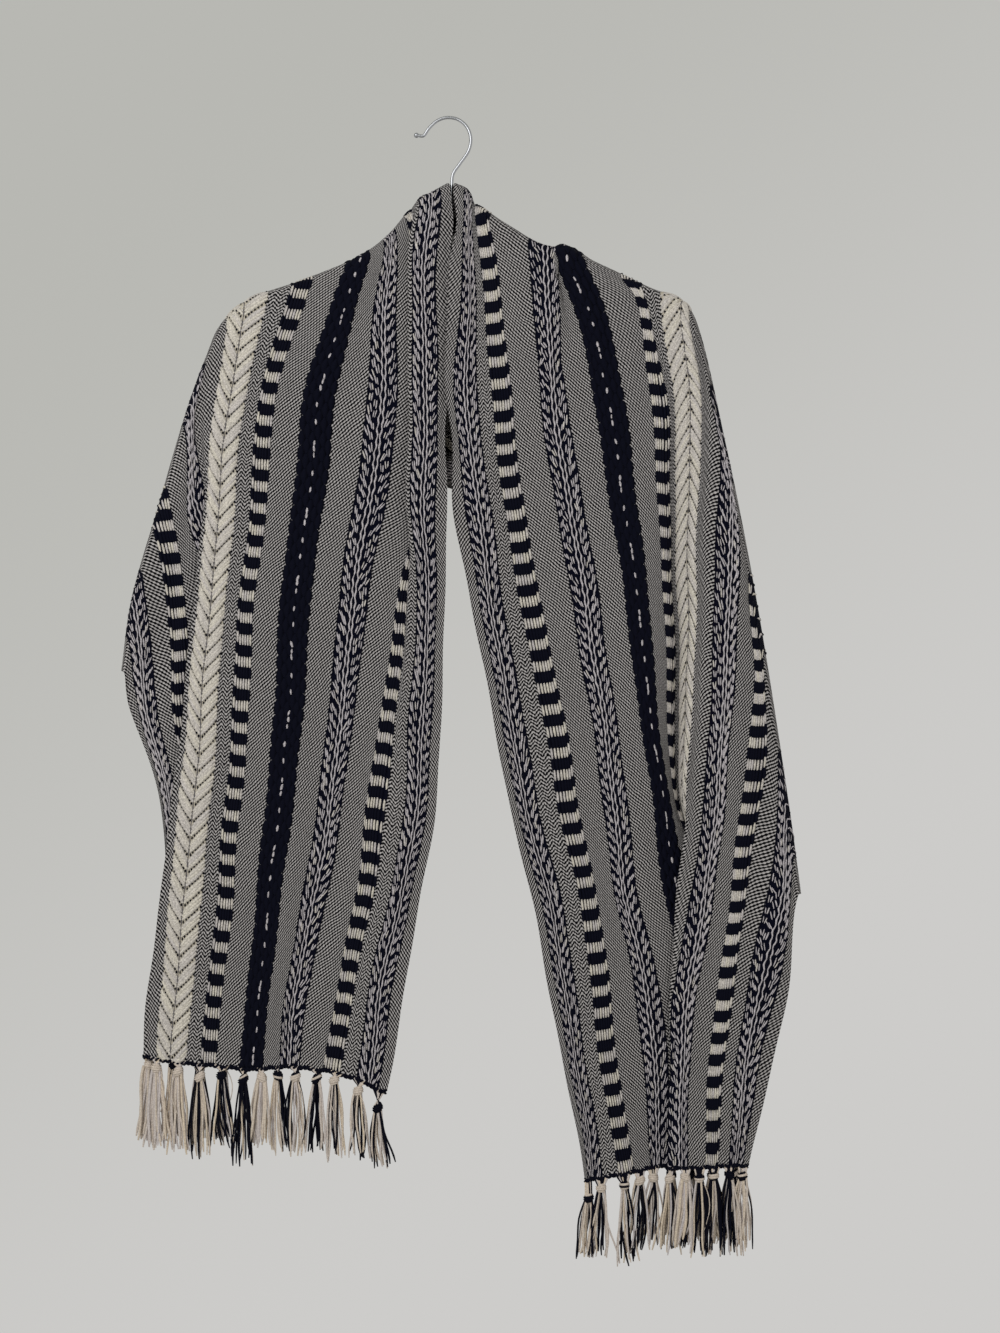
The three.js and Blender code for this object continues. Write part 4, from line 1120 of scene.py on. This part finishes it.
def band_yarns(stretch, stripe, random):
    """A navy band with scalloped edges, and a row of cream beads down its middle."""
    inner, outer = stripe
    spacing = (outer - inner) / BAND_REPEAT["columns"]
    yarns = []
    scallop = BAND_REPEAT["scallop"]
    for number in range(BAND_REPEAT["columns"]):
        column = BAND_REPEAT["edge" if number in (0, BAND_REPEAT["columns"] - 1) else "middle"]
        begin = starts(stretch, scallop, (number % 2) * scallop / 2)
        yarns.append(straight_floats(
            stretch, inner + (number + 0.5) * spacing, begin, scallop - BAND_REPEAT["gap"],
            spacing * column["half"], BAND_REPEAT["tone"], steps=5, lift=column["lift"],
        ))
    for first in BEADS["starts"]:
        begin = starts(stretch, BEADS["period"], first)
        count = len(begin)
        yarns.append(straight_floats(
            stretch,
            (inner + outer) / 2 + random.normal(0, BEADS["place"], (count, 1)),
            begin + random.normal(0, BEADS["start"], count),
            BEADS["length"],
            random.uniform(*BEADS["half"], count),
            random.uniform(*BEADS["tone"], count),
            random.normal(0, BEADS["lean"], count),
            steps=5,
            lift=BEADS["lift"],
        ))
    return yarns


# The rises of the leaves on the spine's inner and outer side, the spine's place as a share of the stripe's
# width, and how far the leaves stay from the spine and from the stripe's edge.
LEAF = {
    "period": 15.2, "rises": {-1: 17.5, 1: 19}, "spine": 0.56, "yarns": 3, "apart": 3.5, "half": 2.2,
    "from_spine": 0.5, "from_edge": 0.2, "tone": (0.93, 1), "lift": 0.7,
}
LEAF_SPINE = {"sway": 0.15, "half": 0.42, "tone": 0.34, "lift": 0.75}
LEAF_DOTS = {
    "count": 7, "first": 0.8, "from_edge": 0.4, "uneven": 0.15, "before": 0.95, "length": 2.4,
    "half": 0.8, "halves": (0.8, 1.15), "tone": 0.12, "lift": 1.0,
}


def leaf_yarns(stretch, stripe, random, upwards):
    """Two columns of slanting leaves that meet at a spine, with dotted seams between the leaves."""
    inner, outer = stripe
    spine = inner + LEAF["spine"] * (outer - inner)
    share = even_steps(5)
    yarns = [long_yarn(stretch, spine, **LEAF_SPINE)]
    for way, rise in LEAF["rises"].items():
        reach = outer - spine if way > 0 else spine - inner
        for number in range(LEAF["yarns"]):
            middle = LEAF["period"] / 2 + (number - (LEAF["yarns"] - 1) / 2) * LEAF["apart"]
            begin = starts(stretch, LEAF["period"], middle)
            wide = reach - LEAF["from_spine"] - LEAF["from_edge"]
            across = spine + way * (LEAF["from_spine"] + wide * share) + np.zeros((len(begin), 1))
            along = begin[:, None] + upwards * rise * share
            tones = random.uniform(*LEAF["tone"], len(begin))
            yarns.append(floats(stretch, across, along, LEAF["half"], tones, LEAF["lift"]))
        for number in range(LEAF_DOTS["count"]):
            begin = starts(stretch, LEAF["period"])
            count = len(begin)
            risen = (number + LEAF_DOTS["first"]) / LEAF_DOTS["count"]
            place = spine + way * (reach - LEAF_DOTS["from_edge"]) * risen
            yarns.append(straight_floats(
                stretch,
                place + random.normal(0, LEAF_DOTS["uneven"], (count, 1)),
                begin + upwards * rise * risen - LEAF_DOTS["before"],
                LEAF_DOTS["length"],
                LEAF_DOTS["half"] * random.uniform(*LEAF_DOTS["halves"], count),
                LEAF_DOTS["tone"],
                steps=3,
                lift=LEAF_DOTS["lift"],
            ))
    return yarns


SEEDS = {"left": 3, "right": 4, "back": 6}
FLATNESS = {"twists": 0.65, "blocks": 0.6, "band": 0.3, "leaves": 0.5}


def dress(stretch, side, material):
    """The floating yarns of one stretch, as a mesh for each kind of stripe."""
    random = np.random.default_rng(SEEDS[side])
    upwards = -1 if side == "right" else 1
    pieces = {
        "twists": [one for stripe in TWISTS for one in twist_yarns(stretch, stripe, random)],
        "blocks": [one for stripe in BLOCKS for one in block_yarns(stretch, stripe, random)],
        "band": band_yarns(stretch, BAND, random),
        "leaves": leaf_yarns(stretch, LEAVES, random, upwards),
    }
    laid = []
    for kind, yarns in pieces.items():
        piece = lay_yarns(f"{kind}_{side}", yarns, material, flatness=FLATNESS[kind])
        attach(piece, "root")
        laid.append(piece)
    return laid


# ---- The cloth ------------------------------------------------------------------------------
fuzz_tree = fuzz_group()
ground = ground_material(twill_group(), fuzz_tree)
yarn = yarn_material("striped_yarn", fuzz_tree, CREAM, 0.38)
fringe_yarn = yarn_material("fringe_yarn", fuzz_tree, FRINGE_CREAM, 0.25)
left = front_stretch("cloth_left", LEFT)
right = front_stretch("cloth_right", RIGHT)
tops = left.reach(np.arange(0.0, CLOTH_WIDTH + 1))[1]
back = back_stretch("cloth_back", lambda at: np.interp(at, np.arange(0, CLOTH_WIDTH + 1), tops))
shells = {stretch.name: shell_object(stretch, ground) for stretch in (left, right, back)}
NODES = {"cloth_left": "front_left", "cloth_right": "front_right", "cloth_back": "back_drape"}
for shell, node in NODES.items():
    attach(shells[shell], "root")
    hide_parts(node)
stretches = {"left": left, "right": right, "back": back}
dressing = {side: dress(stretch, side, yarn) for side, stretch in stretches.items()}


# ---- The fringe -----------------------------------------------------------------------------
TASSEL = {
    "drop": 4.2, "heart": 4.4, "length": 74, "steps": 10, "start": 1, "all_cream": 0.9,
    "cream": {"strands": 20, "half": 1.2, "spread": (3.8, 5.2), "top": 3.2},
    "mixed": {"strands": 15, "half": 0.95, "spread": (5.0, 8.5), "top": 2.4},
}
# How the yarns of a tassel differ: how short they are, how far they lean and flick out, and how they sway
# and bend. "depth" is the bundle's half depth at its top, and how much it gains below.
STRAND = {
    "lengths": (0.84, 1), "lean": 2.2, "flick": 2.2, "depth": (1.5, 2.2), "halves": (0.8, 1.15),
    "sway": {"far": 1.1, "turns": 4.2, "fan": 3}, "bend": {"far": 0.5, "turns": 9, "shift": 6},
    "tip": {"from": 0.95, "half": 0.6},
}
SPRUNG = {
    "far": (5, 9), "rise": 0.8, "drift": 4, "forward": 3.5, "lengths": (0.5, 0.85), "half": 0.42,
    "tone": 0.95,
}
KNOT = {
    "wraps": 4, "steps": 15, "turn": 1.1, "tilt": 2, "wide": 4.4, "deep": 3.3, "height": 2.7,
    "waist": 0.28, "climb": 0.8, "half": 1.3, "cream_share": {0: 0.25, 1: 0.85}, "cream": 0.95, "navy": 0.04,
}
GATHERED = {
    "count": 9, "reach": 7.5, "margin": 0.5, "past": 0.2, "narrowed": 0.35, "forward": 1.2, "above": 2.2,
    "bow": 0.8, "half": 0.9,
}
DYES = {"cream": (0.88, 1), "navy": (0, 0.12)}
TASSEL_FLATNESS = 0.9
CLUSTER = 3  # how many neighbouring yarns of a tassel tend to have one colour
# Each end's tassels from the inner side: the share of cream yarn, whether the knot is cream, how much
# lower it is tied, and its length.
FRINGES = {
    "left": [
        (0.5, 0, 9, 0.74), (0.5, 1, 3, 0.86), (0.72, 1, 0, 1), (0.35, 0, 0, 0.93), (0.7, 1, 1, 0.97),
        (0.6, 0, 0, 1), (1, 1, 0, 0.86), (0.3, 0, 2, 1.06), (0.55, 0, 0, 0.9), (0.62, 1, 3, 1),
        (1, 1, 0, 1.02), (1, 1, 0, 1), (0.9, 1, 0, 0.95), (0.6, 0, 0, 0.9), (0.5, 1, 1, 0.92),
        (0.7, 1, 0, 0.9), (0.45, 0, 1, 0.9), (0.9, 1, 0, 0.86),
    ],
    "right": [
        (0.62, 0, 8, 0.76), (0.55, 1, 1, 0.88), (0.5, 1, 2, 1.0), (0.55, 1, 1, 0.92), (0.8, 1, 1, 0.86),
        (0.6, 0, 0, 0.86), (0.9, 1, 0, 0.86), (0.4, 0, 0, 0.86), (0.5, 0, 1, 0.86), (0.9, 1, 0, 0.84),
        (0.85, 1, 0, 0.84), (0.5, 0, 0, 0.84), (0.75, 1, 2, 0.95), (0.9, 1, 0, 0.86), (0.35, 0, 1, 0.98),
        (0.45, 1, 0, 0.97), (0.4, 0, 0, 1), (0.85, 0, 1, 0.92),
    ],
}
LOOSE = 0.4  # the share of tassels with a sprung yarn
FRINGE_SEED = 100  # added to the seed of a side
HEM_WAY = 6  # how far above the hem the cloth's way is taken


def past_hem(stretch, across, beyond):
    """Points past the hem, in line with the cloth, and the way the cloth faces there."""
    zero = np.zeros(len(across))
    at, facing = stretch.place(across, zero)
    above, _ = stretch.place(across, zero + HEM_WAY)
    return at + unit(at - above) * np.reshape(beyond, (-1, 1)), facing


def dyed(random, count, cream):
    """Tones of neighbouring yarns, in clusters of cream and of navy."""
    margin = 2
    chance = random.normal(0, 1, count + 2 * margin)
    run = np.convolve(chance, np.ones(CLUSTER) / CLUSTER, "same")[margin : count + margin]
    pale = run.argsort().argsort() < round(cream * count)
    tones = [random.uniform(*DYES[dye], count) for dye in ("cream", "navy")]
    return np.where(pale, *tones)[:, None]


def tassel_strands(heart, row, random):
    """The yarns that hang from a knot, close together at the top and spread and bent below it."""
    cream, _, _, length = row
    kind = TASSEL["cream" if cream >= TASSEL["all_cream"] else "mixed"]
    sway, bend, tip = STRAND["sway"], STRAND["bend"], STRAND["tip"]
    count = kind["strands"]
    share = np.linspace(-1, 1, count)[:, None]
    drop = even_steps(TASSEL["steps"])
    opened = 1 - (1 - drop) ** 2
    lengths = TASSEL["length"] * length * random.uniform(*STRAND["lengths"], (count, 1))
    lean = random.normal(0, STRAND["lean"])
    swayed = random.normal(0, sway["far"], (count, 1))
    flick = random.normal(0, STRAND["flick"], (count, 1))
    depth = random.uniform(-1, 1, (count, 1))
    bent = bend["far"] * np.sin(bend["turns"] * drop + random.uniform(0, bend["shift"], (count, 1)))
    spread = kind["top"] + random.uniform(*kind["spread"]) * opened
    shallow, gained = STRAND["depth"]
    paths = np.zeros((count, TASSEL["steps"], 3))
    paths[..., 0] = (
        heart[0] + share * spread + lean * drop**2
        + swayed * np.sin(sway["turns"] * drop + sway["fan"] * share) + flick * drop**3 + bent * opened
    )
    paths[..., 1] = heart[1] + depth * (shallow + gained * opened)
    paths[..., 2] = heart[2] - TASSEL["start"] - (lengths - TASSEL["start"]) * drop
    half = kind["half"] * random.uniform(*STRAND["halves"], (count, 1))
    half = half * np.where(drop > tip["from"], tip["half"], 1)
    return paths, half, FORWARD, dyed(random, count, cream)


def sprung_strand(heart, random):
    """One thin cream yarn that has sprung out of a tassel in a bow."""
    drop = even_steps(TASSEL["steps"])
    bow = random.choice([-1, 1]) * random.uniform(*SPRUNG["far"])
    path = np.stack([
        heart[0] + bow * np.sin(math.pi * drop ** SPRUNG["rise"]) + random.normal(0, SPRUNG["drift"]) * drop,
        heart[1] - SPRUNG["forward"] * np.sin(math.pi * drop),
        heart[2] - TASSEL["length"] * random.uniform(*SPRUNG["lengths"]) * drop,
    ], axis=-1)
    return path[None], SPRUNG["half"], FORWARD, SPRUNG["tone"]


def tassel_knot(heart, row, random):
    """A hard knot: the bundle's own yarns, wound round it side by side."""
    turn = np.linspace(-KNOT["turn"], KNOT["turn"], KNOT["steps"]) * math.pi
    tilt = random.uniform(-KNOT["tilt"], KNOT["tilt"])
    count, tall = KNOT["wraps"], KNOT["height"]
    paths = np.zeros((count, len(turn), 3))
    rise = np.linspace(tall, -tall, count)[:, None]
    belly = 1 - KNOT["waist"] * (rise / tall) ** 2
    paths[..., 0] = heart[0] + np.sin(turn) * KNOT["wide"] * belly
    paths[..., 1] = heart[1] - np.cos(turn) * KNOT["deep"] * belly
    paths[..., 2] = heart[2] + rise + tilt * np.sin(turn) + KNOT["climb"] * turn / math.pi
    cream = random.random((count, 1)) < KNOT["cream_share"][row[1]]
    return paths, KNOT["half"], FORWARD, np.where(cream | (row[0] == 1), KNOT["cream"], KNOT["navy"])


def gathered_ends(stretch, across, heart, row, random):
    """The warp's ends between the hem and a knot."""
    count, margin = GATHERED["count"], GATHERED["margin"]
    offsets = np.linspace(-1, 1, count) * GATHERED["reach"]
    places = np.clip(across + offsets, margin, CLOTH_WIDTH - margin)
    tops, _ = past_hem(stretch, places, np.full(count, GATHERED["past"]))
    ends = np.tile(heart + np.array([0, -GATHERED["forward"], GATHERED["above"]]), (count, 1))
    ends[:, 0] += offsets * GATHERED["narrowed"]
    share = even_steps(3)[:, None]
    paths = tops[:, None] * (1 - share) + ends[:, None] * share
    paths[:, 1, 1] -= GATHERED["bow"]
    return paths, GATHERED["half"], FORWARD, dyed(random, count, row[0])


def tassels(stretch, side, material):
    """The tassels of one end, as one mesh."""
    random = np.random.default_rng(SEEDS[side] + FRINGE_SEED)
    rows = FRINGES[side]
    across = (np.arange(len(rows)) + 0.5) / len(rows) * CLOTH_WIDTH
    roots, _ = past_hem(stretch, across, np.full(len(rows), TASSEL["drop"]))
    yarns = []
    for at, root, row in zip(across, roots, rows):
        heart = root - np.array([0, 0, TASSEL["heart"] + row[2]])
        yarns += [
            tassel_strands(heart, row, random),
            tassel_knot(heart, row, random),
            gathered_ends(stretch, at, heart, row, random),
        ]
        if random.random() < LOOSE:
            yarns.append(sprung_strand(heart, random))
    return lay_yarns("tassels_" + side, yarns, material, flatness=TASSEL_FLATNESS)


TWINE = {
    "step": 1.2, "turn": 8, "half": 1.45, "drop": 1.6, "swing": 1.3, "depth": 0.9, "tone": 0.03, "sides": 6,
}


def twined_edge(stretch, name, material):
    """Two navy yarns twined round each other along the hem."""
    across = np.arange(0.5, CLOTH_WIDTH, TWINE["step"])
    twist = across * 2 * math.pi / TWINE["turn"]
    yarns = []
    for phase in (0, math.pi):
        points, facing = past_hem(stretch, across, TWINE["drop"] + TWINE["swing"] * np.sin(twist + phase))
        points = points + facing * (TWINE["depth"] * np.cos(twist + phase))[:, None]
        yarns.append((points[None], TWINE["half"], facing[None], TWINE["tone"]))
    return lay_yarns(name, yarns, material, sides=TWINE["sides"], flatness=TASSEL_FLATNESS)


fringe = {}
for stretch, side in ((left, "left"), (right, "right")):
    fringe[side] = tassels(stretch, side, fringe_yarn)
    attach(fringe[side], "root")
    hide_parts("fringe_" + side)
    edge = twined_edge(stretch, "twined_hem_" + side, fringe_yarn)
    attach(edge, "root")
    fringe[side + "_edge"] = edge

# ---- The hanger -----------------------------------------------------------------------------
chrome = smooth_material("hook_chrome", CHROME, 0.14, metallic=1.0)
plastic = smooth_material("hanger_plastic", HANGER_WHITE, 0.5)
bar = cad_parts["hanger_bar"]
bar.data.materials.clear()
bar.data.materials.append(plastic)


def wire_hook(material):
    """The hook's wire with its ball tip and its collar, round and smooth."""
    route = [(x, 0, z) for x, z in HOOK["route"]]
    path = smooth(route, even_steps(HOOK["steps"]))
    drawn = (path[None], HOOK["wire"] / 2, FORWARD, 1.0)
    wire = lay_yarns("wire_hook", [drawn], material, sides=HOOK["sides"], flatness=1)
    shape = bmesh.new()
    shape.from_mesh(wire.data)
    for end in HOOK_ENDS:
        x, z = end["at"]
        place = Matrix.Translation(Vector((x, 0, z)) * MM) @ Matrix.Diagonal((1, 1, end["squash"], 1))
        bmesh.ops.create_uvsphere(shape, **BALL_FACES, radius=end["radius"] * MM, matrix=place)
    for face in shape.faces:
        face.smooth = True
    shape.to_mesh(wire.data)
    shape.free()
    return wire


hook = wire_hook(chrome)
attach(hook, "root")
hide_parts("hanger_hook")


# ---- The view, the light and the floor ------------------------------------------------------
VIEW = {"centre": (0.0477, -0.012, -0.496), "distance": 1.75, "height": 1.2, "sensor": 36}
KEY = {"place": (-0.9, -1.9, 0.5), "target": (0.02, 0, -0.5), "size": 1.6, "power": 22}
WALL = {"upper": linear(184, 184, 179), "lower": linear(205, 204, 202), "slant": 0.7, "change": (-0.4, 0.3)}
FLOOR = {"colour": linear(205, 204, 200), "roughness": 0.8, "radius": 1.5, "height": -1.65, "corners": 64}


def stand_camera():
    """A camera level with the middle of the scarf, in front of it."""
    camera = bpy.data.cameras.new("camera")
    camera.sensor_fit = "VERTICAL"
    camera.sensor_height = VIEW["sensor"]
    camera.lens = VIEW["sensor"] * VIEW["distance"] / VIEW["height"]
    stand = new_object("camera", camera)
    x, y, z = VIEW["centre"]
    stand.location = (x, y - VIEW["distance"], z)
    stand.rotation_euler = (math.pi / 2, 0, 0)
    bpy.context.scene.camera = stand


def area_light(name, place, target, size, power):
    lamp = bpy.data.lights.new(name, "AREA")
    lamp.size, lamp.energy = size, power
    stand = new_object(name, lamp)
    stand.location = place
    stand.rotation_euler = (Vector(target) - Vector(place)).to_track_quat("-Z", "Y").to_euler()


def pale_room():
    """A pale wall all round, a little lighter below and to the right, and a floor under the scarf."""
    world = bpy.data.worlds.new("room")
    world.use_nodes = True
    sums = Sums(world.node_tree)
    parts = sums.node("ShaderNodeSeparateXYZ")
    sums.put(parts.inputs[0], sums.node("ShaderNodeTexCoord").outputs["Generated"])
    downwards = sums.math("MULTIPLY", parts.outputs[2], -1.0)
    slanted = sums.math("MULTIPLY_ADD", parts.outputs[0], WALL["slant"], downwards)
    wall = sums.mix(sums.ramp(slanted, *WALL["change"]), WALL["upper"], WALL["lower"])
    sums.put(world.node_tree.nodes["Background"].inputs["Color"], wall)
    bpy.context.scene.world = world
    mesh = bpy.data.meshes.new("floor")
    radius, count = FLOOR["radius"], FLOOR["corners"]
    around = [2 * math.pi * step / count for step in range(count)]
    corners = [(radius * math.cos(turn), radius * math.sin(turn), FLOOR["height"]) for turn in around]
    mesh.from_pydata(corners, [], [tuple(range(count))])
    mesh.materials.append(smooth_material("pale_floor", FLOOR["colour"], FLOOR["roughness"]))
    new_object("floor", mesh)


stand_camera()
pale_room()
bpy.context.scene.view_settings.view_transform = "Standard"
area_light("soft_key", **KEY)
